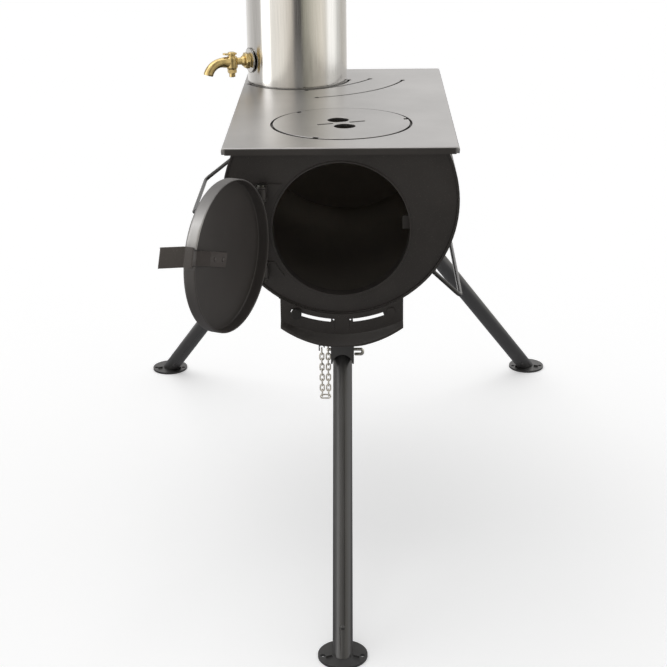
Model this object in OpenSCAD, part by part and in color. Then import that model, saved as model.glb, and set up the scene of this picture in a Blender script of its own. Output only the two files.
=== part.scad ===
// Tent wood stove: a steel drum firebox on three folding legs, with a round door at the front,
// a lift-out hot plate, and a water tank with a tap round the flue.
// Millimetres. X to the right, Y to the back, Z up. The origin is on the floor, mid footprint.

/* [Cook-top] */
// Width of the cook-top, side to side
top_w = 260; // [250:1:290]
// Length of the cook-top, front to back
top_len = 450; // [448:1:520]
// Height of the cooking surface above the floor
top_z = 517; // [500:1:560]
// Sheet thickness of the cook-top
top_t = 3; // [2:0.5:4]
// Depth of the folded edge below the cooking surface
flange_h = 8; // [6:0.5:9]
// Width of the expansion slots cut in the cook-top
slot_w = 3; // [1:0.2:3.4]
// Radius of the two long expansion slots
slot_r = 158; // [150:1:165]

/* [Hot plate] */
// Radius of the lift-out hot plate
plate_r = 79.5; // [60:0.5:83]
// How far the hot plate stands up out of the cook-top
plate_proud = 0.6; // [0:0.2:3]
// Gap between the hot plate and its hole
plate_gap = 3; // [0.8:0.1:3.5]
// Distance from the cook-top's front edge to the hot plate's centre
plate_from_front = 119; // [112:1:126]
// Radius of the two half-round lifting holes
lift_hole_r = 12.5; // [9:0.5:13]
// Width of the bridge between the lifting holes
lift_bridge = 9; // [6:0.5:12]
// Length over both slits beside the lifting holes
lift_slit = 58; // [40:1:70]

/* [Firebox] */
// How far the drum stands out past each side of the cook-top
body_out = 1.5; // [0:0.5:3]
// How far the cook-top stands out past each end of the drum
top_over = 7; // [4:0.5:10]
// Wall of the drum
shell_t = 2.5; // [2:0.5:3.5]
// Height of the cooking surface above the drum's axis
axis_drop = 64; // [60:1:70]
// Thickness of the two end plates
end_t = 2.5; // [2:0.5:4]
// Depth of the end plates inside the drum's ends
end_inset = 2; // [1:0.5:3]

/* [Door] */
// Clear radius of the door opening
opening_r = 76.5; // [60:0.5:77]
// Height of the opening's centre, below the cooking surface
opening_drop = 95.5; // [95:0.5:98]
// Wall of the collar in the opening
collar_t = 2; // [1.5:0.5:3]
// Length of the collar
collar_len = 17; // [10:1:30]
// Outer radius of the door pan
door_r = 82; // [81:0.5:83.5]
// Depth of the door pan, outside face to rim
door_depth = 14.5; // [12:0.5:18]
// Sheet thickness of the door pan
door_t = 2; // [1.5:0.5:2.5]
// How far the door stands open, in degrees
door_open = 114; // [90:1:125]
// Distance of each hinge above and below the opening's centre
hinge_rise = 45; // [35:1:52]
// Distance of the hinge pin outside the door's rim
hinge_out = 5; // [4:0.5:6]
// Radius of the hinge pins
hinge_pin_r = 2.5; // [2:0.25:3]
// Width of the flat strip that makes the handle and latch
strip_w = 16; // [12:0.5:20]
// Angle of the strip above level
strip_tilt = 18.5; // [0:0.5:20]
// Width of the handle's outer grip
grip_w = 21.5; // [18:0.5:24]
// Length of the handle's outer grip
grip_len = 25; // [20:1:35]

/* [Air scoop and slider] */
// Width of the air scoop, side to side
scoop_w = 139; // [125:1:142]
// Sheet thickness of the scoop
scoop_t = 2.5; // [2:0.5:3]
// Distance from the drum's wall to the scoop's air slots
slot_out = 4.5; // [4:0.5:6]
// Width of the scoop's air slots
air_slot_w = 4.2; // [3.8:0.1:5]
// Distance from the drum's wall to the scoop's fold
fold_out = 24; // [20:0.5:28]
// Length of the scoop's forward lip
lip_len = 18.5; // [12:0.5:24]
// Angle of the lip from the scoop's face
lip_angle = 60; // [45:1:70]
// Thickness of the sliding air plate
slider_t = 1.6; // [1:0.1:2]
// Angle between neighbouring air vents
vent_pitch = 9; // [8:0.5:10]
// Width of each air vent
vent_w = 10; // [6:0.5:10]
// Length of each air vent
vent_len = 14; // [8:0.5:16]
// Radius of the slider's knob
knob_r = 6; // [5:0.5:6.5]

/* [Legs] */
// Outer radius of the leg tubes
leg_r = 11; // [9:0.5:11]
// Wall of the leg tubes
leg_t = 1.5; // [1:0.25:2]
// Distance of the front and rear feet from the middle of the stove
foot_reach = 418; // [380:1:440]
// Radius of each round foot
foot_r = 27; // [24:0.5:32]
// Thickness of each foot
foot_t = 3; // [2:0.5:4]
// Radius of the peg holes in the feet
peg_hole_r = 2.8; // [2:0.1:3.2]
// Distance of each peg hole to the side of its foot's centre
peg_reach = 21.4; // [20:0.2:22]
// Distance of the peg holes ahead of their foot's centre
peg_ahead = 4; // [0:0.5:5]
// Radius of the leg pivots
leg_pin_r = 2.5; // [2:0.25:3]
// Distance of the front leg's pivot below the drum
front_pivot_drop = 54.5; // [50:0.5:60]
// Distance of the front leg's pivot behind the drum's front
front_pivot_back = 32; // [30:1:38]
// Distance of the rear legs' pivots ahead of the drum's back
rear_pivot_ahead = 53; // [30:1:90]
// Angle of the rear legs from straight down, seen from the front
rear_splay = 32.2; // [31.8:0.1:34]
// Distance of the rear pivots outside the drum
rear_pivot_out = 18.5; // [17.5:0.5:24]
// Height of the snap buttons along the legs, above the feet
button_rise = 29; // [28:1:60]

/* [Tank and flue] */
// Outer radius of the water tank
tank_r = 65.3; // [60:0.1:66]
// Height of the water tank
tank_h = 250; // [180:1:280]
// Sheet thickness of the tank
tank_t = 1; // [0.8:0.1:1.5]
// Distance from the cook-top's left edge to the tank
tank_from_edge = 4.2; // [2:0.1:6]
// Distance from the cook-top's rear edge to the flue's centre
flue_from_rear = 69.5; // [68:0.5:74]
// Outer radius of the flue pipe
flue_r = 40; // [36:0.5:41]
// Sheet thickness of the flue pipe
flue_t = 1; // [0.8:0.1:1.5]
// Height of the flue pipe above the tank's lid
flue_above = 55; // [40:1:80]
// Height of the tap above the cook-top
tap_rise = 31; // [27:1:80]
// Direction of the tap, in degrees from straight right
tap_dir = 205; // [195:1:215]

/* [Side handles] */
// Radius of the handle and bail wire
wire_r = 2.5; // [2:0.1:3]
// Length of the carrying handle along the drum
handle_len = 165; // [120:1:200]
// Distance of the carrying handle's rear arm ahead of the drum's back
handle_ahead = 48; // [30:1:80]
// Reach of the carrying handle from its pivots
handle_arm = 70; // [60:1:90]
// Length of each lower bail along the drum
bail_len = 240; // [150:1:260]
// Reach of the lower bails from their pivots
bail_arm = 46.5; // [40:0.5:56]

/* [Hidden] */
$fn = 96;

// Clearances
slip = 0.4;        // sheets that slide past each other
run_gap = 0.08;    // a pin in its bore, each side
side_gap = 0.3;    // faces that turn past each other
cut = 1;           // how far a cutter runs past what it cuts

// Shared places
top_under = top_z - top_t;
axis_z = top_z - axis_drop;
opening_z = top_z - opening_drop;
body_r = top_w / 2 + body_out;
body_len = top_len - 2 * top_over;
inner_r = body_r - shell_t;
body_front = body_len / 2;
plate_front = body_front - end_inset;
plate_y = -top_len / 2 + plate_from_front;
flue_x = -top_w / 2 + tank_from_edge + tank_r;
flue_y = top_len / 2 - flue_from_rear;
black = [0.16, 0.15, 0.14];
dark = [0.10, 0.10, 0.10];
steel = [0.78, 0.77, 0.75];
zinc = [0.70, 0.69, 0.65];
brass = [0.72, 0.58, 0.25];

// Points children along the drum: local Z runs forward, local Y runs up, and angles count
// from the drum's lowest line towards the right.
module on_drum(angle = 90)
    translate([0, 0, axis_z]) rotate([90, 0, 0]) rotate([0, 0, angle - 90]) children();

// A closed band about the drum's axis, from one angle to another
module drum_band(from, to, inner, outer, back, front)
    on_drum(from) rotate_extrude(angle = to - from)
        translate([inner, back]) square([outer - inner, front - back]);

module tube(outer, inner, h)
    difference() {
        cylinder(r = outer, h = h);
        translate([0, 0, -cut]) cylinder(r = inner, h = h + 2 * cut);
    }

// Everything above the drum's flat top, for cutting away
module above_flat()
    translate([-2 * body_r, -top_len, top_under]) cube([4 * body_r, 2 * top_len, 2 * body_r]);

// ---------------------------------------------------------------- firebox

vent_count = 5;
vent_front = body_front - 8;
vent_span = (vent_count - 1) / 2 * vent_pitch;

module vents(reach)
    for (i = [0 : vent_count - 1])
        on_drum(-vent_span + i * vent_pitch)
            translate([inner_r - cut, -vent_w / 2, vent_front - vent_len])
                cube([reach, vent_w, vent_len]);

module firebox_shell()
    color(black) difference() {
        on_drum() translate([0, 0, -body_len / 2]) tube(body_r, inner_r, body_len);
        above_flat();
        vents(shell_t + 2 * cut);
    }

module end_disc(front)
    difference() {
        on_drum() translate([0, 0, front - end_t]) cylinder(r = inner_r, h = end_t);
        above_flat();
    }

collar_r = opening_r + collar_t;
collar_front = plate_front + 1;

module at_opening() translate([0, 0, opening_z]) rotate([90, 0, 0]) children();

module front_plate()
    color(black) difference() {
        end_disc(plate_front);
        at_opening() translate([0, 0, plate_front - end_t - cut])
            cylinder(r = collar_r, h = end_t + 2 * cut);
    }

module rear_plate() color(black) end_disc(-plate_front + end_t);

module opening_collar()
    color(black) at_opening() translate([0, 0, collar_front - collar_len])
        tube(collar_r, opening_r, collar_len);

catch_w = 8;
catch_h = 15;
catch_rise = 6;
catch_t = 2;
catch_back = 9;

module catch_tab()
    color(black) difference() {
        translate([opening_r - catch_w, -collar_front + catch_back, opening_z + catch_rise - catch_h / 2])
            cube([catch_w + collar_t, catch_t, catch_h]);
        at_opening() translate([0, 0, collar_front - collar_len]) tube(2 * collar_r, opening_r, collar_len);
    }

// ---------------------------------------------------------------- cook-top

flange_taper = 4;
dot_r = 3.2;
slot_2_centre = [flue_x - 42.5, flue_y + 75.5];
slot_step = [30, -40];
flue_slot_r = tank_r + 3;
flue_slot_from = 205;
flue_slot_to = 354;
flue_hole_r = flue_r - flue_t;

// A flange that narrows towards its ends, standing on the line y = 0
module flange(len)
    translate([0, top_t, 0]) rotate([90, 0, 0]) linear_extrude(top_t)
        polygon([[-len / 2, -top_t], [len / 2, -top_t],
                 [len / 2 - flange_taper, -flange_h], [-len / 2 + flange_taper, -flange_h]]);

// An arc slot with a round dot at each end
module arc_slot(centre, r, from, to)
    translate([centre[0], centre[1], top_under - cut]) {
        rotate([0, 0, from]) rotate_extrude(angle = to - from)
            translate([r - slot_w / 2, 0]) square([slot_w, top_t + 2 * cut]);
        for (a = [from, to])
            rotate([0, 0, a]) translate([r, 0, 0]) cylinder(r = dot_r, h = top_t + 2 * cut);
    }

module cook_top()
    color(black) difference() {
        union() {
            translate([-top_w / 2, -top_len / 2, top_under]) cube([top_w, top_len, top_t]);
            for (side = [0, 180])
                translate([0, 0, top_z]) rotate([0, 0, side]) {
                    translate([0, -top_len / 2, 0]) flange(top_w);
                    rotate([0, 0, 90]) translate([0, -top_w / 2, 0]) flange(top_len);
                }
        }
        translate([0, plate_y, top_under - cut]) cylinder(r = plate_r + plate_gap, h = top_t + 2 * cut);
        translate([flue_x, flue_y, top_under - cut]) cylinder(r = flue_hole_r, h = top_t + 2 * cut);
        arc_slot([flue_x, flue_y], flue_slot_r, flue_slot_from, flue_slot_to);
        arc_slot(slot_2_centre, slot_r, -69, -29);
        arc_slot(slot_2_centre + slot_step, slot_r, -75, -17.5);
    }

ring_in = plate_r - 5;
ring_out = plate_r + plate_gap + 6;
ring_t = 2;

module hot_plate_ring()
    color(black) translate([0, plate_y, top_under - ring_t]) tube(ring_out, ring_in, ring_t);

notch_w = 7;
notch_deep = 4.5;
hole_back = [-4, 15.5];
hole_front = [4, -16.5];
lift_slit_angle = 18;
bridge_len = 20;
slit_w = 4.4;

plate_t = top_t + plate_proud;

module hot_plate()
    color(black) translate([0, plate_y, top_under]) difference() {
        cylinder(r = plate_r, h = plate_t);
        for (a = [14, 131, 249])
            rotate([0, 0, a]) translate([plate_r - notch_deep, -notch_w / 2, -cut])
                cube([2 * notch_deep, notch_w, plate_t + 2 * cut]);
        for (at = [hole_back, hole_front]) difference() {
            translate([at[0], at[1], -cut]) cylinder(r = lift_hole_r, h = plate_t + 2 * cut);
            rotate([0, 0, lift_slit_angle]) translate([-lift_slit, -lift_bridge / 2, -2 * cut])
                cube([2 * lift_slit, lift_bridge, plate_t + 4 * cut]);
        }
        for (side = [0, 180])
            rotate([0, 0, lift_slit_angle + side]) translate([bridge_len / 2, -slit_w / 2, -cut])
                cube([(lift_slit - bridge_len) / 2, slit_w, plate_t + 2 * cut]);
    }

// ---------------------------------------------------------------- flue and tank

collar_up = 30;
collar_flange = 10;
flue_in = flue_r - flue_t;
flue_collar_r = flue_in - slip;
sleeve_in = flue_r + 2.5;
sleeve_out = sleeve_in + tank_t;
lid_gap = 0.5;
lid_skirt = 12;
lid_top = top_z + tank_h + tank_t;
flue_top = lid_top + flue_above;
swage_h = 28;
swage_r = flue_collar_r;

module at_flue(z) translate([flue_x, flue_y, z]) children();

module flue_collar()
    color(black) difference() {
        at_flue(top_under - ring_t) union() {
            cylinder(r = flue_collar_r + collar_flange, h = ring_t);
            cylinder(r = flue_collar_r, h = ring_t + top_t + collar_up);
        }
        at_flue(top_under - ring_t - cut)
            cylinder(r = flue_collar_r - flue_t, h = ring_t + top_t + collar_up + 2 * cut);
    }

module flue_pipe()
    color(steel) at_flue(0) rotate_extrude()
        polygon([[flue_in, top_z], [flue_r, top_z], [flue_r, flue_top - swage_h - 2],
                 [swage_r, flue_top - swage_h], [swage_r, flue_top],
                 [swage_r - flue_t, flue_top], [swage_r - flue_t, flue_top - swage_h],
                 [flue_in, flue_top - swage_h - 2]]);

module tank_shell()
    color(steel) difference() {
        at_flue(top_z) tube(tank_r, tank_r - tank_t, tank_h);
        at_tap() cylinder(r = tap_thread_r + run_gap, h = 2 * tank_r);
    }

module tank_floor()
    color(steel) at_flue(top_z) tube(tank_r - tank_t, sleeve_out, tank_t);

module tank_sleeve()
    color(steel) at_flue(top_z) tube(sleeve_out, sleeve_in, tank_h);

module tank_lid()
    color(steel) at_flue(lid_top - tank_t) difference() {
        translate([0, 0, -lid_skirt]) cylinder(r = tank_r + lid_gap + tank_t, h = lid_skirt + tank_t);
        translate([0, 0, -lid_skirt - cut]) cylinder(r = tank_r + lid_gap, h = lid_skirt + cut);
        cylinder(r = sleeve_in - lid_gap, h = 3 * tank_t, center = true);
    }

lid_knob_r = 6;
lid_knob_h = 12;

module tank_lid_knob()
    color(dark) at_flue(lid_top) rotate([0, 0, 270])
        translate([(tank_r + sleeve_out) / 2, 0, 0]) rotate_extrude()
            polygon([[0, 0], [4, 0], [4, 4], [lid_knob_r, 7], [lid_knob_r, lid_knob_h - 1],
                     [lid_knob_r - 1, lid_knob_h], [0, lid_knob_h]]);

// The tap, drawn along its own axis: local Z runs outwards from the flue's centre, local X
// runs down
tap_thread_r = 4.8;
washer_r = 16;
washer_t = 2;
washer_at = tank_r + 0.2;
tap_nut_af = 19;
tap_nut_t = 7;
barrel_r = 4.6;
tap_core_r = 7.5;
tap_core_at = washer_at + washer_t + tap_nut_t + 17;
tap_core_up = 7;
tap_core_down = 9;
tap_bore_r = 2.8;
plug_r = 4;
plug_low = 12;
spout_r = 5.2;
spout_bend = 20;
spout_at = tap_core_at + tap_core_r + 6;

module at_tap()
    translate([flue_x, flue_y, top_z + tap_rise]) rotate([0, 90, tap_dir]) children();

module tap_washer()
    color(dark) at_tap() translate([0, 0, washer_at]) tube(washer_r, tap_thread_r + run_gap, washer_t);

module tap_back_nut()
    color(brass) at_tap() translate([0, 0, tank_r - tank_t - 6])
        difference() {
            cylinder(r = 9, h = 5, $fn = 6);
            translate([0, 0, -cut]) cylinder(r = tap_thread_r, h = 5 + 2 * cut);
        }

module tap_body()
    color(brass) at_tap() difference() {
        union() {
            translate([0, 0, tank_r - tank_t - 10]) cylinder(r = tap_thread_r, h = 14 + washer_t);
            translate([0, 0, washer_at + washer_t])
                cylinder(r = tap_nut_af / 2 / cos(30), h = tap_nut_t, $fn = 6);
            translate([0, 0, washer_at + washer_t + tap_nut_t - cut])
                cylinder(r = barrel_r, h = tap_core_at - washer_at - washer_t - tap_nut_t + cut);
            translate([0, 0, tap_core_at]) rotate([0, 90, 0])
                translate([0, 0, -tap_core_up]) cylinder(r = tap_core_r, h = tap_core_up + tap_core_down);
            translate([0, 0, tap_core_at]) cylinder(r = spout_r, h = spout_at - tap_core_at);
            translate([spout_bend, 0, spout_at]) rotate([90, 0, 180])
                rotate_extrude(angle = 75) translate([spout_bend, 0]) circle(r = spout_r);
        }
        translate([0, 0, tank_r - tank_t - 10 - cut])
            cylinder(r = tap_bore_r, h = spout_at - tank_r + tank_t + 10 + cut);
        translate([spout_bend, 0, spout_at]) rotate([90, 0, 180])
            rotate_extrude(angle = 80) translate([spout_bend, 0]) circle(r = spout_r - 1.6);
        translate([0, 0, tap_core_at]) rotate([0, 90, 0])
            translate([0, 0, -tap_core_up - cut])
                cylinder(r = plug_r + run_gap, h = tap_core_up + tap_core_down + 2 * cut);
    }

lever_len = 19;
lever_w = 7;
lever_t = 2.5;
lever_lift = 5;

module tap_plug()
    color(brass) at_tap() translate([0, 0, tap_core_at]) difference() {
        union() {
            rotate([0, 90, 0]) translate([0, 0, -tap_core_up - lever_lift])
                cylinder(r = plug_r, h = tap_core_up + lever_lift + tap_core_down + plug_low);
            translate([-tap_core_up - lever_lift - lever_t, -lever_w / 2, -lever_w])
                cube([lever_t, lever_w, lever_len]);
        }
        translate([0, 0, -tap_core_r]) cylinder(r = tap_bore_r, h = 2 * tap_core_r);
    }

module tap_plug_nut()
    color(brass) at_tap() translate([tap_core_down + side_gap, 0, tap_core_at])
        rotate([0, 90, 0]) difference() {
            cylinder(r = 6, h = 5, $fn = 6);
            translate([0, 0, -cut]) cylinder(r = plug_r, h = 5 + 2 * cut);
        }

// ---------------------------------------------------------------- door

hinge_x = -door_r - hinge_out;
rim_gap = 0.5;
rim_front = plate_front + rim_gap;              // where the rim stops, ahead of the front plate
face_front = rim_front + door_depth;            // outside face of the shut door
knuckle_r = hinge_pin_r + 3.2;
strap_t = 2;
hinge_front = face_front + strap_t - knuckle_r; // hinge axis, ahead of the stove's middle
knuckle_h = 12;
ear_t = 2;
leaf_out = 12;

// Moves a child drawn for the shut door to where the open door stands
module open_door()
    translate([hinge_x, -hinge_front, 0]) rotate([0, 0, -door_open])
        translate([-hinge_x, hinge_front, 0]) children();

module each_hinge()
    for (side = [-1, 1]) translate([hinge_x, -hinge_front, opening_z + side * hinge_rise]) children();

module hinge_leaves()
    color(black) difference() {
        each_hinge() difference() {
            union() {
                for (side = [-1, 1])
                    translate([0, 0, side * (knuckle_h / 2 + side_gap) - (side < 0 ? ear_t : 0)]) {
                        cylinder(r = knuckle_r, h = ear_t);
                        translate([-knuckle_r, 0, 0])
                            cube([2 * knuckle_r, hinge_front - plate_front, ear_t]);
                    }
                translate([-leaf_out, hinge_front - plate_front - ear_t, -knuckle_h / 2 - side_gap - ear_t])
                    cube([4 * leaf_out, ear_t, knuckle_h + 2 * side_gap + 2 * ear_t]);
            }
            cylinder(r = hinge_pin_r + run_gap, h = 4 * knuckle_h, center = true);
        }
        at_opening() cylinder(r = door_r + 1.2, h = 2 * face_front);
        difference() {
            on_drum() cylinder(r = 2 * body_r, h = 2 * face_front);
            on_drum() translate([0, 0, -cut]) cylinder(r = inner_r, h = 2 * face_front + 2 * cut);
        }
    }

module hinge_pins()
    color(zinc) each_hinge() {
        translate([0, 0, -knuckle_h / 2 - side_gap - ear_t - 2])
            cylinder(r = hinge_pin_r, h = knuckle_h + 2 * side_gap + 2 * ear_t + 2);
        translate([0, 0, knuckle_h / 2 + side_gap + ear_t]) cylinder(r = hinge_pin_r + 2, h = 2.5);
        translate([0, 0, -knuckle_h / 2 - side_gap - ear_t - 2.5]) cylinder(r = hinge_pin_r + 1.5, h = 2.5);
    }

strap_reach = 42;
strap_h = 14;
rivet_r = 2.5;
rivet_head = 1.5;

module door_straps()
    color(black) open_door() each_hinge() difference() {
        union() {
            translate([0, 0, -knuckle_h / 2]) cylinder(r = knuckle_r, h = knuckle_h);
            translate([0, -knuckle_r, -knuckle_h / 2]) cube([strap_reach, strap_t, knuckle_h]);
        }
        cylinder(r = hinge_pin_r + run_gap, h = 2 * knuckle_h, center = true);
    }

notch_floor = 9;      // how far the rim notch starts from the door's inside face
strip_t = 1.5;
strip_lift = 11;      // how high the latch strip passes through the rim

module door_pan()
    color(black) open_door() difference() {
        at_opening() translate([0, 0, rim_front]) difference() {
            cylinder(r = door_r, h = door_depth);
            translate([0, 0, -cut]) cylinder(r = door_r - door_t, h = door_depth - door_t + cut);
        }
        at_strip() translate([0, notch_floor, -strip_w / 2 - slip])
            cube([2 * door_r, door_depth, strip_w + 2 * slip]);
    }

// The strip's own frame: x runs along it from the door's middle, y is depth into the stove
strip_drop = 4.8;
module at_strip()
    translate([0, -face_front + door_t, opening_z]) rotate([0, -strip_tilt, 0])
        translate([0, 0, -strip_drop]) children();

// The strip seen edge on: flat on the door, up a ramp, through the rim's notch, then down the
// outside of the rim and flared away as the grip
strip_flat = 30;
strip_ramp = 58;
grip_flare = 50;
rim_out = door_r + 0.4;
grip_root = [rim_out + strip_t, 0];
grip_dir = [cos(grip_flare), -sin(grip_flare)];
grip_side = [sin(grip_flare), cos(grip_flare)];
grip_a = [rim_out, 0];
grip_b = grip_a + grip_len * grip_dir;

module strip_outline()
    polygon([
        [-6, 0], [strip_flat, 0], [strip_ramp, 4], [door_r - door_t - 3, strip_lift - strip_t],
        [rim_out + strip_t, strip_lift - strip_t], [rim_out + strip_t, strip_lift],
        [door_r - door_t - 3, strip_lift], [strip_ramp, 4 + strip_t], [strip_flat, strip_t], [-6, strip_t]]);

module grip_outline()
    polygon([
        [rim_out, strip_lift], grip_a, grip_b, grip_b + strip_t * grip_side,
        [rim_out + strip_t, strip_t * 0.7], [rim_out + strip_t, strip_lift]]);

lip_fold = 3;

module door_handle()
    color(black) open_door() at_strip() union() {
        translate([0, 0, -strip_w / 2]) linear_extrude(strip_w) strip_outline();
        translate([0, 0, -grip_w / 2]) linear_extrude(grip_w) grip_outline();
        translate([0, 0, grip_w / 2 - strip_t]) linear_extrude(strip_t)
            polygon([grip_a, grip_b, grip_b - lip_fold * grip_side,
                     grip_a - lip_fold * grip_side + [2, 0]]);
    }

module door_rivets()
    color(dark) open_door() {
        for (x = [2, 20])
            at_strip() translate([x, strip_t, 0]) rotate([-90, 0, 0]) cylinder(r = rivet_r, h = rivet_head);
        for (side = [-1, 1], x = [25, 35])
            translate([hinge_x + x, -face_front - strap_t, opening_z + side * hinge_rise])
                rotate([90, 0, 0]) cylinder(r = rivet_r, h = rivet_head);
    }

// ---------------------------------------------------------------- air scoop and slider

scoop_back = body_front;
scoop_front = scoop_back + scoop_t;
scoop_top_r = body_r - 1.5;
slot_in_r = body_r + slot_out;
slot_out_r = slot_in_r + air_slot_w;
fold_r = body_r + fold_out;
lip_dir = [cos(lip_angle), sin(lip_angle)];
lip_up = [-sin(lip_angle), cos(lip_angle)];
lip_low = [fold_r, scoop_back];
slot_gap = 5.2;       // half the solid bridge between the slots, in degrees
dot_gap = 4;          // from the middle of the bridge to each small dot in it, in degrees
air_dot_r = 1.1;
left_slot_end = 24.6;
right_slot_end = 20;
lip_sweep = 300;      // radius of the lip's front edge, seen from above
lip_front = scoop_back + lip_len * sin(lip_angle) + scoop_t * cos(lip_angle) - 0.4;

module air_scoop()
    color(black) difference() {
        intersection() {
            on_drum(-40) rotate_extrude(angle = 80)
                polygon([[scoop_top_r, scoop_back], lip_low, lip_low + lip_len * lip_dir,
                         lip_low + lip_len * lip_dir + scoop_t * lip_up,
                         [fold_r - scoop_t * tan(lip_angle / 2), scoop_front], [scoop_top_r, scoop_front]]);
            translate([-scoop_w / 2, -2 * body_len, 0]) cube([scoop_w, 2 * body_len, axis_z]);
            translate([0, lip_sweep - lip_front, 0]) cylinder(r = lip_sweep, h = axis_z);
        }
        for (span = [[-left_slot_end, -slot_gap], [slot_gap, right_slot_end]])
            drum_band(span[0], span[1], slot_in_r, slot_out_r, scoop_back - cut, scoop_front + cut);
        for (a = [-dot_gap, dot_gap])
            on_drum(a) translate([slot_in_r + air_dot_r, 0, scoop_back - cut])
                cylinder(r = air_dot_r, h = scoop_t + 2 * cut);
        on_drum(bolt_angle) translate([bolt_r_at, 0, scoop_back - cut])
            cylinder(r = bolt_r + run_gap, h = scoop_t + 2 * cut);
    }

bolt_angle = 23.8;
bolt_r_at = (slot_in_r + slot_out_r) / 2;
bolt_r = 2.5;

module scoop_bolt()
    color(dark) on_drum(bolt_angle) translate([bolt_r_at, 0, 0]) {
        translate([0, 0, scoop_back - 2.4]) cylinder(r = bolt_r, h = 2.4 + scoop_t + cut);
        translate([0, 0, scoop_front]) cylinder(r = bolt_r + 1.8, h = 2.2);
        translate([0, 0, scoop_back - 2.4]) cylinder(r = bolt_r + 1.5, h = 2.4, $fn = 6);
    }

slider_in = body_r + slip;
slider_out = slider_in + slider_t;
slider_front = vent_front + 3.5;
slider_back = vent_front - vent_len - 4;
slider_left = -32.5;
slider_right = 28;
knob_angle = -21.9;
tab_w = 9;
tab_t = 1.5;
stem_r = 1.7;

module air_slider()
    color(black) difference() {
        union() {
            drum_band(slider_left, slider_right, slider_in, slider_out, slider_back, slider_front);
            on_drum(knob_angle) translate([slider_out - slider_t / 2, -tab_w / 2, slider_front - tab_t])
                cube([slot_out_r + 3 - slider_out, tab_w, tab_t]);
        }
        for (i = [0 : vent_count - 1])
            on_drum(-vent_span + i * vent_pitch)
                translate([inner_r, -vent_w / 2, vent_front - vent_len])
                    cube([2 * slider_t + shell_t, vent_w, vent_len]);
    }

module slider_knob()
    color(dark) on_drum(knob_angle) translate([bolt_r_at, 0, 0]) {
        translate([0, 0, slider_front]) cylinder(r = stem_r, h = scoop_front + 2 - slider_front);
        translate([0, 0, scoop_front + side_gap]) cylinder(r = knob_r - 1, h = 6);
        translate([0, 0, scoop_front + side_gap + 1]) cylinder(r = knob_r, h = 4);
    }

clip_t = 1.5;

module slider_clips()
    color(black) for (span = [[slider_left + 3, slider_left + 6], [slider_right - 4, slider_right - 1]])
        difference() {
            drum_band(span[0], span[1], body_r, slider_out + slip + clip_t,
                      slider_back - side_gap - clip_t, slider_front + side_gap + clip_t);
            drum_band(span[0] - cut, span[1] + cut, body_r - cut, slider_out + slip,
                      slider_back - side_gap, slider_front + side_gap);
        }

// ---------------------------------------------------------------- legs

front_pivot_y = body_front - front_pivot_back;
front_pivot_z = axis_z - body_r - front_pivot_drop;
rear_pivot_y = body_front - rear_pivot_ahead;
rear_pivot_r = body_r + rear_pivot_out;
front_pivot = [0, -front_pivot_y, front_pivot_z];
front_lean = atan((foot_reach - front_pivot_y) / front_pivot_z);
front_leg_len = front_pivot_z / cos(front_lean);
rear_pivot_z = axis_z - rear_pivot_r * cos(rear_splay);
rear_drop = rear_pivot_z / cos(rear_splay);
rear_lean = atan((foot_reach - rear_pivot_y) / rear_drop);
rear_leg_len = rear_drop / cos(rear_lean);
rear_foot_x = (rear_pivot_r + rear_drop) * sin(rear_splay);

leg_bore = leg_pin_r + run_gap;
leg_head = 10.5;        // tube above the pivot
head_reach = sqrt(leg_head * leg_head + leg_r * leg_r) + 0.5;
cheek_t = 2;
cheek_gap = 0.25;
cheek_in = leg_r + cheek_gap;
cheek_out = cheek_in + cheek_t;

// The pivot frames: the leg hangs from the origin along local -Z and turns about local X
module at_front_pivot() translate(front_pivot) rotate([-front_lean, 0, 0]) children();
module at_rear_bracket(side)
    mirror([side < 0 ? 1 : 0, 0, 0]) translate([0, 0, axis_z]) rotate([0, -rear_splay, 0])
        translate([0, rear_pivot_y, -rear_pivot_r]) children();
module at_rear_pivot(side) at_rear_bracket(side) rotate([rear_lean, 0, 0]) children();

// Space below the top of the feet
module below_feet() translate([-2000, -2000, -100]) cube([4000, 4000, 100 + foot_t]);

module leg_tube(len)
    difference() {
        translate([0, 0, -len - leg_r]) cylinder(r = leg_r, h = len + leg_r + leg_head);
        translate([0, 0, -len - leg_r - cut])
            cylinder(r = leg_r - leg_t, h = len + leg_r + leg_head + 2 * cut);
        rotate([0, 90, 0]) cylinder(r = leg_bore, h = 4 * leg_r, center = true);
        translate([0, 0, button_rise - len]) rotate([90, 0, 0])
            cylinder(r = button_r + run_gap, h = 2 * leg_r);
    }

spigot_gap = 0.2;
spigot_r = leg_r - leg_t - spigot_gap;
spigot_t = 1.2;
spigot_h = 72;
button_r = 2.3;
button_out = 1.6;
button_in = 3;

module foot_spigot(len)
    difference() {
        translate([0, 0, -len - leg_r]) cylinder(r = spigot_r, h = spigot_h + leg_r);
        translate([0, 0, -len - 2 * leg_r]) cylinder(r = spigot_r - spigot_t, h = spigot_h + 4 * leg_r);
        translate([0, 0, button_rise - len]) rotate([90, 0, 0])
            cylinder(r = button_r + run_gap, h = 2 * leg_r);
    }

rib_t = 2;
rib_h = 5;

module foot_disc()
    difference() {
        union() {
            cylinder(r = foot_r, h = foot_t);
            for (a = [-25, 205])
                rotate([0, 0, a]) translate([leg_r + 2, -rib_t / 2, 0])
                    cube([7, rib_t, foot_t + rib_h / 2]);
        }
        for (side = [-1, 1])
            translate([side * peg_reach, -peg_ahead, -cut]) cylinder(r = peg_hole_r, h = foot_t + 2 * cut);
    }

// A dome-headed button on a flat root, pointing along local -Y through the leg's wall
module snap_button(len)
    translate([0, 0, button_rise - len]) rotate([90, 0, 0]) {
        translate([0, 0, leg_r - leg_t - button_in])
            cylinder(r = button_r, h = leg_t + button_in + button_out / 2);
        translate([0, 0, leg_r + button_out / 2])
            cylinder(r1 = button_r, r2 = button_r / 2, h = button_out / 2);
    }

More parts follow.
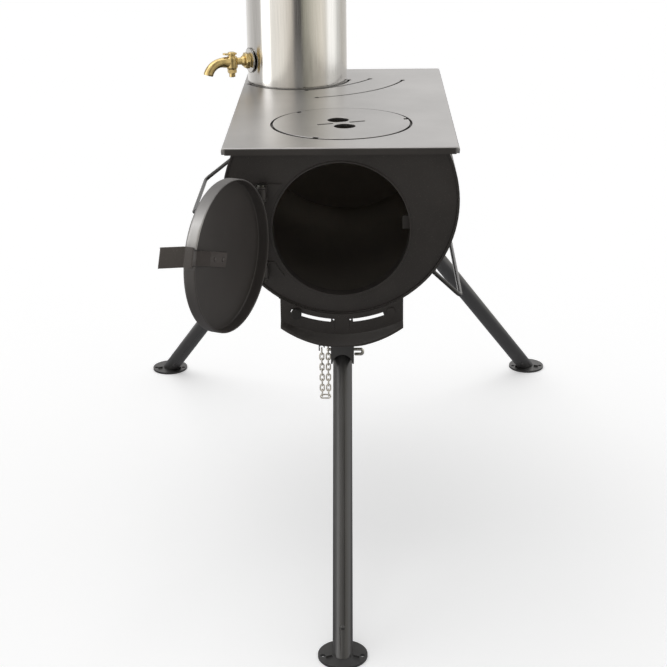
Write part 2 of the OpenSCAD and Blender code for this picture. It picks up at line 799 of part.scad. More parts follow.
module front_leg_tube()
    color(black) difference() {
        at_front_pivot() leg_tube(front_leg_len);
        below_feet();
    }

module front_foot()
    color(black) union() {
        translate([0, -foot_reach, 0]) foot_disc();
        difference() {
            at_front_pivot() foot_spigot(front_leg_len);
            translate([0, 0, -foot_t + 0.5]) below_feet();
        }
    }

module front_leg_button() color(zinc) at_front_pivot() snap_button(front_leg_len);

module rear_leg_tube(side)
    color(black) difference() {
        at_rear_pivot(side) leg_tube(rear_leg_len);
        below_feet();
    }

module rear_foot(side)
    color(black) union() {
        translate([side * rear_foot_x, foot_reach, 0]) foot_disc();
        difference() {
            at_rear_pivot(side) foot_spigot(rear_leg_len);
            translate([0, 0, -foot_t + 0.5]) below_feet();
        }
    }

module rear_leg_button(side) color(zinc) at_rear_pivot(side) snap_button(rear_leg_len);

module left_leg_tube() rear_leg_tube(-1);
module right_leg_tube() rear_leg_tube(1);
module left_foot() rear_foot(-1);
module right_foot() rear_foot(1);
module left_leg_button() rear_leg_button(-1);
module right_leg_button() rear_leg_button(1);

// Front bracket: a box open below and behind, hung from the drum on a narrow post
bracket_ahead = 26;
bracket_behind = 18;
bracket_low = 8;
bracket_roof = head_reach + 3;
post_w = 12;
post_ahead = 2;
ear_hole_r = 2.4;
ear_h = 4.6;
ear_low = 4.6;        // from the pivot's middle up to the ear's arm
hook_w = 7;
hook_low = -1.5;      // from the pivot's middle up to the ear's hook
hole_up = 2.75;
chain_left = -24.4;   // the strand on the ear
chain_right = -16.9;  // the strand on the pin

module front_leg_bracket()
    color(black) difference() {
        union() {
            difference() {
                translate(front_pivot + [-cheek_out, -bracket_ahead, -bracket_low])
                    cube([2 * cheek_out, bracket_ahead + bracket_behind, bracket_low + bracket_roof]);
                translate(front_pivot + [-cheek_in, -bracket_ahead + cheek_t, -bracket_low - cut])
                    cube([2 * cheek_in, bracket_ahead + bracket_behind, bracket_low + head_reach + cut]);
            }
            translate([-post_w / 2, -front_pivot_y - post_ahead, front_pivot_z + bracket_roof - cut])
                cube([post_w, bracket_behind + post_ahead, axis_z - body_r + 3 - front_pivot_z - bracket_roof]);
            translate(front_pivot + [chain_left - hook_w / 2, -cheek_t / 2, ear_low])
                cube([-chain_left + hook_w / 2 - cheek_in - cheek_t / 2, cheek_t, ear_h]);
            translate(front_pivot + [chain_left - hook_w / 2, -cheek_t / 2, hook_low])
                cube([hook_w, cheek_t, ear_low + ear_h - hook_low]);
        }
        on_drum() translate([0, 0, -body_len]) cylinder(r = body_r, h = 2 * body_len);
        translate(front_pivot) rotate([0, 90, 0])
            cylinder(r = leg_pin_r + run_gap, h = 4 * cheek_out, center = true);
        translate(front_pivot + [0, -bracket_ahead - cut, -bracket_low])
            rotate([-90, 0, 0]) cylinder(r = leg_r + cheek_gap, h = cheek_t + 2 * cut);
        translate(front_pivot + [chain_left, -cheek_t / 2 - cut, hole_up])
            rotate([-90, 0, 0]) cylinder(r = ear_hole_r, h = cheek_t + 2 * cut);
    }

// Hairpin: a straight pivot rod, turned back below itself at the right
pin_tip = 5.5;
pin_bow = 12;
prong_drop = 6;
prong_r = 1.8;

module front_leg_pin()
    color(zinc) translate(front_pivot) {
        translate([-cheek_out - pin_tip, 0, 0]) rotate([0, 90, 0])
            cylinder(r = leg_pin_r, h = 2 * cheek_out + pin_tip + pin_bow);
        translate([cheek_out + pin_bow - prong_r, 0, -prong_drop]) cylinder(r = prong_r, h = prong_drop);
        translate([cheek_out + side_gap, 0, -prong_drop]) rotate([0, 90, 0])
            cylinder(r = prong_r, h = pin_bow - side_gap);
    }

// A chain of oval links, each a quarter turn from the last: one strand hangs from the ear, one
// from a ring on the pin's tip, and a link joins them at the bottom
link_wire = 0.85;
link_w = 2.3;         // half the link's width, to the middle of its wire
link_half = 1.9;      // half its straight part
link_play = 0.1;
link_step = 2 * (link_half + link_w - link_wire) - 1.4 * link_play;
ring_wire_r = 5;      // the pin's ring, to the middle of its wire
pin_strand = 8;       // links below the ring
joiner_half = 3.6;
ring_z = leg_pin_r + link_play / 2 - ring_wire_r + link_wire;
pin_link_z = ring_z - ring_wire_r + 2 * link_wire + link_play - link_half - link_w;
strand_end_z = pin_link_z - (pin_strand - 1) * link_step;
joiner_z = strand_end_z - link_half - 2 * link_w + 2 * link_wire + link_play;

module chain_link(half)
    union() {
        for (end = [0, 180])
            rotate([0, end, 0]) translate([0, 0, half]) rotate([90, 0, 0])
                rotate_extrude(angle = 180) translate([link_w, 0]) circle(r = link_wire, $fn = 16);
        for (side = [-1, 1])
            translate([side * link_w, 0, -half]) cylinder(r = link_wire, h = 2 * half, $fn = 16);
    }

// Links up from the bottom of a strand, the lowest one edge on to the front
module strand(x, count)
    for (i = [0 : count - 1])
        translate([x, 0, strand_end_z + i * link_step]) rotate([0, 0, i % 2 == 0 ? 90 : 0])
            chain_link(link_half);

module pin_chain()
    color(zinc) translate(front_pivot) {
        strand(chain_left, pin_strand + 1);
        strand(chain_right, pin_strand);
        translate([(chain_left + chain_right) / 2, 0, joiner_z]) rotate([0, 90, 0]) chain_link(joiner_half);
        translate([chain_right, 0, ring_z]) rotate([0, 90, 0]) rotate_extrude()
            translate([ring_wire_r, 0]) circle(r = link_wire, $fn = 16);
    }

// Rear brackets: a channel saddled on the drum, open below
saddle_len = 34;
saddle_low = 9;

module rear_leg_brackets()
    color(black) for (side = [-1, 1]) at_rear_bracket(side) difference() {
        translate([-cheek_out, -saddle_len / 2, -saddle_low])
            cube([2 * cheek_out, saddle_len, rear_pivot_r - body_r + saddle_low + 3]);
        translate([-cheek_in, -saddle_len / 2 - cut, -saddle_low - cut])
            cube([2 * cheek_in, saddle_len + 2 * cut, saddle_low + head_reach + cut]);
        translate([0, body_len, rear_pivot_r]) rotate([90, 0, 0]) cylinder(r = body_r, h = 2 * body_len);
        rotate([0, 90, 0]) cylinder(r = leg_pin_r + run_gap, h = 4 * cheek_out, center = true);
    }

module rear_leg_bolts()
    color(zinc) for (side = [-1, 1]) at_rear_bracket(side) rotate([0, 90, 0]) {
        translate([0, 0, -cheek_out - 3]) cylinder(r = leg_pin_r, h = 2 * cheek_out + 4);
        translate([0, 0, cheek_out]) cylinder(r = leg_pin_r + 2, h = 2.5, $fn = 6);
        translate([0, 0, -cheek_out - 3]) cylinder(r = leg_pin_r + 2, h = 3, $fn = 6);
    }

// ---------------------------------------------------------------- wire handles

handle_pivot_r = body_r + 6;
handle_angle = 76.6;      // of the carrying handle's pivots, from the drum's lowest line
handle_droop = 38;        // of its arms below level
handle_y = body_front - handle_ahead - handle_len;
bail_angle = 48.5;
bail_droop = 43.2;
bail_front = body_front - 38;
lug_t = 4;
lug_r = wire_r + 3;
stub = 9;

// A pivot frame beside the drum: local X points out along the arm, local Z runs to the back
module at_wire_pivot(side, angle, droop, y)
    mirror([side < 0 ? 1 : 0, 0, 0])
        translate([handle_pivot_r * sin(angle), y, axis_z - handle_pivot_r * cos(angle)])
            rotate([0, droop, 0]) rotate([-90, 0, 0]) children();

// A wire bail: two arms, a grip bar, and two stubs that turn in the lugs
module wire_bail(len, arm)
    union() {
        translate([arm, 0, 0]) cylinder(r = wire_r, h = len);
        for (z = [0, len]) translate([0, 0, z]) {
            rotate([0, 90, 0]) cylinder(r = wire_r, h = arm);
            translate([arm, 0, 0]) sphere(r = wire_r + 0.15);
            sphere(r = wire_r + 0.15);
        }
        cylinder(r = wire_r, h = stub);
        translate([0, 0, len - stub]) cylinder(r = wire_r, h = stub);
    }

lug_in = wire_r + 1;    // from an arm's middle to the near face of its lug

// Two lugs just inside the arms of a bail whose front arm stands at y
module lug_pair(side, angle, len, y)
    mirror([side < 0 ? 1 : 0, 0, 0]) on_drum(angle)
        for (low = [-y - lug_in - lug_t, -y - len + lug_in])
            translate([0, 0, low]) linear_extrude(lug_t) difference() {
                union() {
                    translate([handle_pivot_r, 0]) circle(r = lug_r);
                    translate([inner_r, -lug_r]) square([handle_pivot_r - inner_r, 2 * lug_r]);
                }
                circle(r = body_r);
                translate([handle_pivot_r, 0]) circle(r = wire_r + run_gap);
            }

module carry_handle()
    color(dark) at_wire_pivot(-1, handle_angle, handle_droop, handle_y)
        wire_bail(handle_len, handle_arm);

module handle_lugs() color(black) lug_pair(-1, handle_angle, handle_len, handle_y);

module lower_bail(side)
    color(dark) at_wire_pivot(side, bail_angle, bail_droop, -bail_front) wire_bail(bail_len, bail_arm);

module left_bail() lower_bail(-1);
module right_bail() lower_bail(1);
module bail_lugs() color(black) for (side = [-1, 1]) lug_pair(side, bail_angle, bail_len, -bail_front);

// ---------------------------------------------------------------- nodes

firebox_shell();
front_plate();
rear_plate();
opening_collar();
catch_tab();
cook_top();
hot_plate_ring();
hot_plate();
flue_collar();
flue_pipe();
tank_shell();
tank_floor();
tank_sleeve();
tank_lid();
tank_lid_knob();
tap_washer();
tap_back_nut();
tap_body();
tap_plug();
tap_plug_nut();
hinge_leaves();
hinge_pins();
door_pan();
door_straps();
door_handle();
door_rivets();
air_scoop();
scoop_bolt();
air_slider();
slider_knob();
slider_clips();
front_leg_bracket();
front_leg_pin();
pin_chain();
front_leg_tube();
front_foot();
front_leg_button();
rear_leg_brackets();
rear_leg_bolts();
left_leg_tube();
left_foot();
left_leg_button();
right_leg_tube();
right_foot();
right_leg_button();
carry_handle();
handle_lugs();
left_bail();
right_bail();
bail_lugs();
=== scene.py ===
"""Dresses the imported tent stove: finishes, formed sheet metal, wires, tap, camera and studio.

Metres. X to the right, Y to the back, Z up. The origin is on the floor, mid footprint, as in the frame.
"""

import math

import bmesh
import bpy
import numpy as np
from mathutils import Matrix, Vector


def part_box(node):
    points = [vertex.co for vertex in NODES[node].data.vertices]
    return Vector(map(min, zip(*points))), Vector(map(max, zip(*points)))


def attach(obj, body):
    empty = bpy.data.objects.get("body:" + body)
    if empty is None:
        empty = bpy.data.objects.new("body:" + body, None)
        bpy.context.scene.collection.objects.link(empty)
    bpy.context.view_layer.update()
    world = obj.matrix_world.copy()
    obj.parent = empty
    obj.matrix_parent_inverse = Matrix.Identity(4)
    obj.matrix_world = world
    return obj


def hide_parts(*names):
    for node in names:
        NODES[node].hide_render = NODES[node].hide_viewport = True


bl_info = {
    "name": "Tent stove dressing",
    "version": (1, 0, 0),
    "blender": (4, 5, 0),
    "location": "3D View > Sidebar > Tent stove",
    "description": "Finishes and formed parts of a drum stove on folding legs, on a pale studio floor",
    "category": "Object",
}

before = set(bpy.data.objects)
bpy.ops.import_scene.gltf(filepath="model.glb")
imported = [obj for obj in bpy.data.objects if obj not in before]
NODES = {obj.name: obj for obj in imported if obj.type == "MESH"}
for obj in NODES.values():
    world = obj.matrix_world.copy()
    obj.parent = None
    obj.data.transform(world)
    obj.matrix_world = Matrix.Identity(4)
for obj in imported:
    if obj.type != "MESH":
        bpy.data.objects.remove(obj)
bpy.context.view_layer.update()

# -------- sizes, from the frame and the part's source

MM = 0.001


class Box:
    """A CAD node's box at rest: its lowest and highest corner, its middle and its size."""

    def __init__(self, node):
        self.low, self.high = (np.array(corner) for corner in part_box(node))
        self.mid = (self.low + self.high) / 2
        self.size = self.high - self.low


TOP, TANK, LID, FLUE = (Box(node) for node in ("cook_top", "tank_shell", "tank_lid", "flue_pipe"))
TOP_W, TOP_LEN = TOP.size[:2]
TOP_Z = TOP.high[2]
PLATE_Z = Box("hot_plate").high[2]
OPENING_Z = Box("opening_collar").mid[2]
FLUE_AT = FLUE.mid * [1, 1, 0]
AXIS_Z = 453 * MM  # the drum's axis
BODY_R = 131.5 * MM  # its outside
DOOR_OPEN = 114  # degrees
HINGE_AT = np.array([-87.0, -227.3, 0.0]) * MM


# -------- properties


def length_setting(name, description, default):
    return bpy.props.FloatProperty(
        name=name, description=description, default=default, min=0, precision=5, subtype="DISTANCE",
        unit="LENGTH")


def colour_setting(name, description, default):
    return bpy.props.FloatVectorProperty(
        name=name, description=description, default=default, size=3, min=0, max=1, subtype="COLOR")


class StovePaint(bpy.types.PropertyGroup):
    """Colours and gloss of the stove's finishes."""

    black: colour_setting("Heat paint", "Colour of the baked black paint", (0.0370, 0.0322, 0.0295))
    gloss: bpy.props.FloatProperty(
        name="Paint roughness", description="Roughness of the baked black paint", subtype="FACTOR",
        default=0.42, min=0.05, max=1)
    plate: colour_setting("Satin plate", "Colour of the cook-top's satin sheet", (0.49, 0.48, 0.472))
    steel: colour_setting("Polished steel", "Colour of the tank's polished sheet", (0.66, 0.645, 0.62))
    brass: colour_setting("Brass", "Colour of the tap", (0.62, 0.475, 0.22))
    zinc: colour_setting("Zinc", "Colour of the plated bolts and hairpin", (0.60, 0.59, 0.54))


class StoveForm(bpy.types.PropertyGroup):
    """Sizes of the formed metal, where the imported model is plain."""

    edge: length_setting("Edge rounding", "Width of the rounding on cut edges", 0.35 * MM)
    fold: length_setting("Cook-top fold", "Width of the rounding on the cook-top's folds", 2.6 * MM)
    lid_edge: length_setting("Lid edge", "Radius of the tank lid's pressed edge", 2.2 * MM)
    groove: length_setting("Flue groove", "Depth of the groove rolled below the flue's neck", 1.2 * MM)
    crimp: length_setting("Crimp depth", "Depth of the flutes in the flue's neck", 0.5 * MM)
    crimps: bpy.props.IntProperty(
        name="Crimps", description="Number of flutes round the flue's neck", default=24, min=0)
    door_edge: length_setting("Door edge", "Radius of the door pan's pressed edge", 3.2 * MM)
    sag: length_setting("Grip sag", "How far down the end of the door's grip is bent", 4 * MM)


class StoveStudio(bpy.types.PropertyGroup):
    """Camera, floor and light."""

    lens: bpy.props.FloatProperty(
        name="Lens", description="Focal length on a 36 mm sensor", subtype="DISTANCE_CAMERA", unit="CAMERA",
        default=81.54, min=10)
    floor: colour_setting("Floor", "Colour of the studio floor", (0.93, 0.93, 0.93))
    lift: bpy.props.FloatProperty(
        name="Floor lift", description="Brightness added to the floor for the camera", default=0.26, min=0)
    sky: bpy.props.FloatProperty(
        name="Sky light", description="Strength of the even studio light", default=0.62, min=0)
    key: bpy.props.FloatProperty(
        name="Overhead light", description="Strength of the soft overhead light", default=1.0, min=0)


# -------- node-graph helpers


class Graph:
    """A node tree, built by short calls. A value is a number, a colour, a vector or another node's output."""

    def __init__(self, tree, space):
        self.tree = tree
        self.coords = self.add("ShaderNodeTexCoord").outputs[space]

    def feed(self, socket, value):
        """Links a node's output to the socket, or sets the socket's own value."""
        if isinstance(value, bpy.types.NodeSocket):
            self.tree.links.new(value, socket)
        elif socket.type == "RGBA":
            socket.default_value = (*value[:3], 1)
        else:
            socket.default_value = value

    def add(self, kind, *values, **named):
        """Makes a node. Values go to its first sockets in order, each named one to a socket or a setting."""
        node = self.tree.nodes.new(kind)
        for name, value in named.items():
            socket = node.inputs.get(name.replace("_", " "))
            if socket is None:
                setattr(node, name, value)
            else:
                self.feed(socket, value)
        for socket, value in zip(node.inputs, values):
            self.feed(socket, value)
        return node

    def maths(self, operation, *values):
        return self.add("ShaderNodeMath", *values, operation=operation).outputs[0]

    def vector(self, operation, *values, out="Vector", **named):
        return self.add("ShaderNodeVectorMath", *values, operation=operation, **named).outputs[out]

    def stretched(self, x, y, z):
        """The coordinates, scaled along each axis."""
        return self.add("ShaderNodeMapping", self.coords, Scale=(x, y, z)).outputs[0]

    def noise(self, scale, detail=3.0, vector=None):
        return self.add("ShaderNodeTexNoise", vector or self.coords, Scale=scale, Detail=detail,
                        Roughness=0.55).outputs["Fac"]

    def spread(self, value, low, high, start=0.3, end=0.7):
        """Low where the value is at start, high where it is at end, and even steps between, clamped."""
        return self.add("ShaderNodeMapRange", value, start, end, low, high).outputs["Result"]

    def blend(self, fac, a, b):
        """Colour a where fac is 0, and b where it is 1."""
        node = self.add("ShaderNodeMix", data_type="RGBA")
        for index, value in ((0, fac), (6, a), (7, b)):
            self.feed(node.inputs[index], value)
        return node.outputs[2]

    def bump(self, height, strength, distance, under=None):
        node = self.add("ShaderNodeBump", Height=height, Strength=strength, Distance=distance)
        if under is not None:
            self.feed(node.inputs["Normal"], under)
        return node.outputs[0]

    def part(self, axis, vector=None):
        """One coordinate of a vector."""
        return self.add("ShaderNodeSeparateXYZ", vector or self.coords).outputs[axis]

    def off_axis(self, through, along):
        """Distance from a straight line: the length of q - (q . along) along, where q starts at through."""
        away = self.vector("SUBTRACT", self.coords, tuple(through))
        run = self.vector("DOT_PRODUCT", away, tuple(along), out="Value")
        onto = self.vector("SCALE", tuple(along), Scale=run)
        return self.vector("LENGTH", self.vector("SUBTRACT", away, onto), out="Value")


class Finish(Graph):
    """The node tree of one material, on the object's own coordinates, with its shader."""

    def __init__(self, name):
        self.material = bpy.data.materials.new(name)
        self.material.use_nodes = True
        super().__init__(self.material.node_tree, "Object")
        self.shader = self.tree.nodes["Principled BSDF"]

    def set(self, **sockets):
        for name, value in sockets.items():
            self.feed(self.shader.inputs[name.replace("_", " ")], value)
        return self.material


def scaled(colour, k):
    """A colour k times as bright."""
    return tuple(min(1.0, c * k) for c in colour[:3])


# -------- finishes

# Fineness of the noise patterns, in cells to the metre
CLOUDS = 9.0
HAZE = 14.0
TARNISH = 140.0
PEEL = 260.0
GRIT = 900.0

TANK_GRAIN = (0.10, 0.06, 1.0)  # the direction that the tank's mirrored shapes are smeared in
DEEP = 214.2 * MM  # just past the inner faces of both end plates
ASH_FRONT, ASH_BACK = -190 * MM, 120 * MM
FINISHES = {}


def heat_paint(name, colour, rough):
    """Baked matt-satin paint on steel: fine orange peel, faint clouds in tone and gloss."""
    g = Finish(name)
    clouds = g.noise(CLOUDS, 4.0)
    grit = g.noise(GRIT, 2.0)
    tone = g.blend(g.spread(clouds, 0, 1), scaled(colour, 0.82), scaled(colour, 1.22))
    return g.set(
        Base_Color=g.blend(g.spread(grit, 0, 1, 0.62, 0.75), tone, scaled(colour, 1.9)),
        Roughness=g.spread(clouds, rough - 0.05, rough + 0.07), Specular_IOR_Level=0.42,
        Normal=g.bump(g.noise(PEEL), 0.10, 0.0006, g.bump(grit, 0.12, 0.0003)))


def polished_steel(name, colour, rough, round_draw=0.0):
    """Stainless sheet with a fine draw and slight roll marks; a draw round the tube smears what it mirrors
    up and down."""
    g = Finish(name)
    drawn = g.noise(60.0, vector=g.stretched(18, 18, 0.35))
    roll = g.noise(7.0, 2.0, g.stretched(1, 1, 2.5))
    return g.set(
        Base_Color=g.blend(g.spread(drawn, 0, 1), scaled(colour, 0.93), scaled(colour, 1.05)), Metallic=1.0,
        Roughness=g.spread(drawn, rough - 0.04, rough + 0.05), Anisotropic=round_draw,
        Tangent=g.add("ShaderNodeCombineXYZ", *TANK_GRAIN).outputs[0],
        Normal=g.bump(roll, 0.05, 0.002, g.bump(drawn, 0.04, 0.0004)))


def dark_satin(name, colour, metal, rough):
    """Dark heat-treated metal with a cloudy satin sheen: coarse clouds in tone, fine rolled grain."""
    g = Finish(name)
    clouds = g.noise(HAZE, 4.0)
    grain = g.noise(240.0, vector=g.stretched(1, 6, 1))
    return g.set(
        Base_Color=g.blend(g.spread(clouds, 0, 1), scaled(colour, 0.90), scaled(colour, 1.10)),
        Metallic=metal, Roughness=g.spread(clouds, rough - 0.03, rough + 0.05),
        Normal=g.bump(grain, 0.018, 0.0004, g.bump(g.noise(GRIT, 2.0), 0.05, 0.0002)))


def part_satin(name, satin, metal, smooth, paint, rough, mask):
    """Satin sheet where the mask is 1 and matt heat paint where it is 0."""
    g = Finish(name)
    where = mask(g)
    clouds = g.spread(g.noise(HAZE, 4.0), 0, 1)
    sheen = g.blend(clouds, scaled(satin, 0.93), scaled(satin, 1.07))
    dull = g.blend(clouds, scaled(paint, 0.85), scaled(paint, 1.15))
    return g.set(
        Base_Color=g.blend(where, dull, sheen), Metallic=g.spread(where, 0, metal, 0, 1),
        Roughness=g.spread(where, rough, smooth, 0, 1), Normal=g.bump(g.noise(GRIT, 2.0), 0.06, 0.0002))


def top_mask(g):
    """The cook-top's upper face, where the paint is worn off, and its corners as painted highlights."""
    bare_and_highlight = g.spread(g.part("Z"), 0, 1, TOP_Z - 1.4 * MM, TOP_Z - 0.3 * MM)
    # Painted highlights: bright satin patches round each corner, fading out from 2 to 5 mm
    for x, y in ((-1, -1), (1, -1), (1, 1), (-1, 1)):
        corner = g.off_axis((x * TOP_W / 2, y * TOP_LEN / 2, 0), (0, 0, 1))
        bare_and_highlight = g.maths("MAXIMUM", bare_and_highlight, g.spread(corner, 0.8, 0, 2 * MM, 5 * MM))
    return bare_and_highlight


def plate_mask(g):
    """The hot plate's upper face, and not its cut edges, whose extra-dark paint is partly painted shade."""
    return g.spread(g.part("Z"), 0, 1, PLATE_Z - 0.9 * MM, PLATE_Z - 0.3 * MM)


def rim_highlight_mask(g):
    """Outside of the open door's rim: further from the door's axis than the middle of its sheet. As a painted
    highlight it comes up above the door's middle, with painted shade below the latch strip, and fades at its
    top."""
    centre = open_door(np.array([0, FACE_Y, OPENING_Z]))
    axis = turn_about("Z", -DOOR_OPEN) @ np.array([0, 1.0, 0])
    outside = g.spread(g.off_axis(centre, axis), 0, 1, DOOR_R - 1.2 * MM, DOOR_R - 0.8 * MM)
    level = g.part("Z")
    # Painted highlight over painted shade: satin above the latch strip, dark paint below it, fading towards
    # the top
    rise = g.spread(level, 0.04, 0.9, OPENING_Z + 8 * MM, OPENING_Z + 38 * MM)
    fade = g.spread(level, 1, 0.3, OPENING_Z + 52 * MM, OPENING_Z + 80 * MM)
    return g.maths("MULTIPLY", outside, g.maths("MULTIPLY", rise, fade))


def sooted_paint(name, paint, soot, rough, reach, depth):
    """Heat paint outside and dull warm soot inside, told apart by distance from the drum's axis and depth."""
    g = Finish(name)
    y = g.part("Y")
    within = g.spread(g.off_axis((0, 0, AXIS_Z), (0, 1, 0)), 1, 0, reach - 0.1 * MM, reach + 0.1 * MM)
    before_back = g.spread(y, 1, 0, depth - 0.1 * MM, depth + 0.1 * MM)
    behind_front = g.spread(y, 0, 1, 0.3 * MM - depth, 0.5 * MM - depth)
    inside = g.maths("MULTIPLY", within, g.maths("MULTIPLY", before_back, behind_front))
    ash = g.blend(g.spread(y, 0, 1, ASH_FRONT, ASH_BACK), scaled(soot, 0.3), soot)
    outside = g.blend(g.spread(g.noise(CLOUDS, 4.0), 0, 1), scaled(paint, 0.82), scaled(paint, 1.22))
    return g.set(
        Base_Color=g.blend(inside, outside, ash), Roughness=g.spread(inside, rough, 0.75, 0, 1),
        Specular_IOR_Level=0.42, Normal=g.bump(g.noise(GRIT, 2.0), 0.12, 0.0003))


def plain_metal(name, colour, rough, mottle=0.12, bump=0.08, metal=1.0):
    """Plated or cast metal with cloudy tarnish and fine pits."""
    g = Finish(name)
    clouds = g.noise(TARNISH, 4.0)
    return g.set(
        Base_Color=g.blend(g.spread(clouds, 0, 1), scaled(colour, 1 - mottle), scaled(colour, 1 + mottle)),
        Metallic=metal, Roughness=g.spread(clouds, rough - 0.06, rough + 0.1),
        Normal=g.bump(g.noise(GRIT, 2.0), bump, 0.0003))


def moulded(name, colour, rough):
    """Moulded plastic or rubber with a fine skin."""
    g = Finish(name)
    skin = g.noise(700.0, 2.0)
    return g.set(
        Base_Color=g.blend(g.spread(skin, 0, 1), scaled(colour, 0.85), scaled(colour, 1.2)),
        Roughness=rough, Normal=g.bump(skin, 0.15, 0.0002))


def make_finishes(paint):
    black, plate = paint.black, paint.plate
    FINISHES.update(
        body=heat_paint("heat_paint_body", black, paint.gloss),
        shell=sooted_paint("heat_paint_shell", black, (0.40, 0.355, 0.30), paint.gloss, 130.2 * MM, DEEP),
        # The door's pieces in the body's black lightened 2.4 times: painted light, for the open door catching
        # more light
        door=heat_paint("heat_paint_door_painted_light", scaled(black, 2.4), paint.gloss - 0.04),
        # The dish: its inside in the body's black lightened 1.3 times as painted light, its rim's satin a
        # painted highlight
        dish=part_satin("heat_paint_dish_painted_highlight", scaled(plate, 0.75), 0.8, 0.30, scaled(black, 1.3), 0.5, rim_highlight_mask),
        top=part_satin("satin_top", plate, 0.85, 0.33, scaled(black, 1.15), 0.45, top_mask),
        # The plate's cut edges in paint 0.8 times the body's black: partly painted shade in its gap, holes
        # and slots
        plate=part_satin("satin_plate", scaled(plate, 0.94), 0.85, 0.33, scaled(black, 0.8), 0.5, plate_mask),
        legs=dark_satin("satin_legs", scaled(plate, 0.16), 0.4, 0.33),
        wire=dark_satin("dark_wire", scaled(plate, 0.13), 0.7, 0.24),
        pin=plain_metal("dark_pin", scaled(paint.zinc, 0.12), 0.4),
        steel=polished_steel("polished_steel", paint.steel, 0.135, 1.0),
        pipe=polished_steel("pipe_steel", scaled(paint.steel, 0.92), 0.22),
        zinc=plain_metal("zinc_plate", paint.zinc, 0.38),
        chain=plain_metal("chain_plate", (0.84, 0.80, 0.72), 0.42, metal=0.4),
        brass=plain_metal("cast_brass", paint.brass, 0.22, 0.15, 0.12),
        rubber=moulded("black_rubber", (0.012, 0.012, 0.012), 0.65),
        knob=moulded("heat_proof_knob", (0.014, 0.013, 0.013), 0.38),
    )


class STOVE_OT_finishes(bpy.types.Operator):
    """Mixes the stove's paints, platings and polishes"""

    bl_idname = "stove.finishes"
    bl_label = "Finishes"

    def execute(self, context):
        make_finishes(context.scene.stove_paint)
        return {"FINISHED"}


# -------- CAD nodes that stay

LEGS = [side + part for side in ("front", "left", "right") for part in ("_leg_tube", "_foot", "_leg_button")]
STAYING = {
    "shell": ["firebox_shell", "rear_plate"],
    "body": ["front_plate", "catch_tab", "hinge_leaves", "door_straps", "air_scoop", "air_slider",
             "slider_clips", "handle_lugs", "bail_lugs", "scoop_bolt", "opening_collar"],
    "top": ["hot_plate_ring", "flue_collar"],
    "plate": ["hot_plate"],
    "legs": ["front_leg_bracket", "rear_leg_brackets", *LEGS],
    "pipe": ["tank_sleeve", "tank_floor"],
    "pin": ["hinge_pins"],
    "zinc": ["rear_leg_bolts"],
    "chain": ["pin_chain"],
    "brass": ["tap_back_nut"],
    "knob": ["slider_knob"],
}
OWN_ROUNDING = {"hot_plate": 0.4 * MM, "pin_chain": 0, "air_scoop": 1.1 * MM}
MERGE = 2e-6  # corners of a CAD mesh that are nearer than this are one


def round_edges(piece, label, width, segments, method, angle):
    """Rounds edges with a live bevel: by their angle in degrees, or by the weights that they carry."""
    bevel = piece.modifiers.new(label, "BEVEL")
    bevel.width = width
    bevel.segments = segments
    bevel.limit_method = method
    bevel.angle_limit = math.radians(angle)
    bevel.use_clamp_overlap = True


def even_facets(piece):
    piece.modifiers.new("facets", "WEIGHTED_NORMAL").keep_sharp = True


class STOVE_OT_packed_nodes(bpy.types.Operator):
    """Gives every CAD node that stays its finish, and rounds its edges with a live weld and bevel"""

    bl_idname = "stove.packed_nodes"
    bl_label = "Packed nodes"

    def execute(self, context):
        for finish, names in STAYING.items():
            for name in names:
                node = NODES[name]
                node.data.materials.clear()
                node.data.materials.append(FINISHES[finish])
                node.modifiers.new("weld", "WELD").merge_threshold = MERGE
                width = OWN_ROUNDING.get(name, context.scene.stove_form.edge)
                if width:
                    round_edges(node, "edge", width, 2, "ANGLE", 28)
                node.data.shade_smooth()
                even_facets(node)
        return {"FINISHED"}


# -------- new pieces


def set_in(name, mesh, finish, body, node):
    """Puts a mesh in as a piece that rides on a body, stands for a CAD node and takes one of the finishes."""
    mesh.materials.clear()
    mesh.materials.append(FINISHES[finish])
    piece = bpy.data.objects.new(name, mesh)
    bpy.context.collection.objects.link(piece)
    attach(piece, body)
    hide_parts(node)
    return piece


class STOVE_OT_cook_top(bpy.types.Operator):
    """Makes the cook-top from a merged copy of its CAD sheet, with wide bevels on its outer folds alone"""

    bl_idname = "stove.cook_top"
    bl_label = "Cook-top"

    def execute(self, context):
        form = context.scene.stove_form
        mesh = NODES["cook_top"].data.copy()
        mesh.name = "cook_top_sheet"
        sheet = bmesh.new()
        sheet.from_mesh(mesh)
        bmesh.ops.remove_doubles(sheet, verts=sheet.verts, dist=MERGE)
        bmesh.ops.dissolve_limit(sheet, angle_limit=math.radians(0.5), verts=sheet.verts, edges=sheet.edges)
        weight = sheet.edges.layers.float.new("bevel_weight_edge")
        for edge in sheet.edges:
            ends = np.array([corner.co for corner in edge.verts])
            on_low, on_high = ((abs(ends - side) < 1e-5).all(0) for side in (TOP.low, TOP.high))
            edge[weight] = float(on_high[2] and (on_low[:2].any() or on_high[:2].any()))
        sheet.to_mesh(mesh)
        sheet.free()
        mesh.shade_smooth()
        piece = set_in("cook_top_sheet", mesh, "top", "stove", "cook_top")
        round_edges(piece, "fold", form.fold, 6, "WEIGHT", 40)
        round_edges(piece, "edge", form.edge, 2, "ANGLE", 40)
        even_facets(piece)
        return {"FINISHED"}


# -------- surfaces


def between(a, b, count):
    """Points that cut a straight run into equal lengths, without its ends."""
    return a + (b - a) * np.linspace(0, 1, count)[1:-1, None]


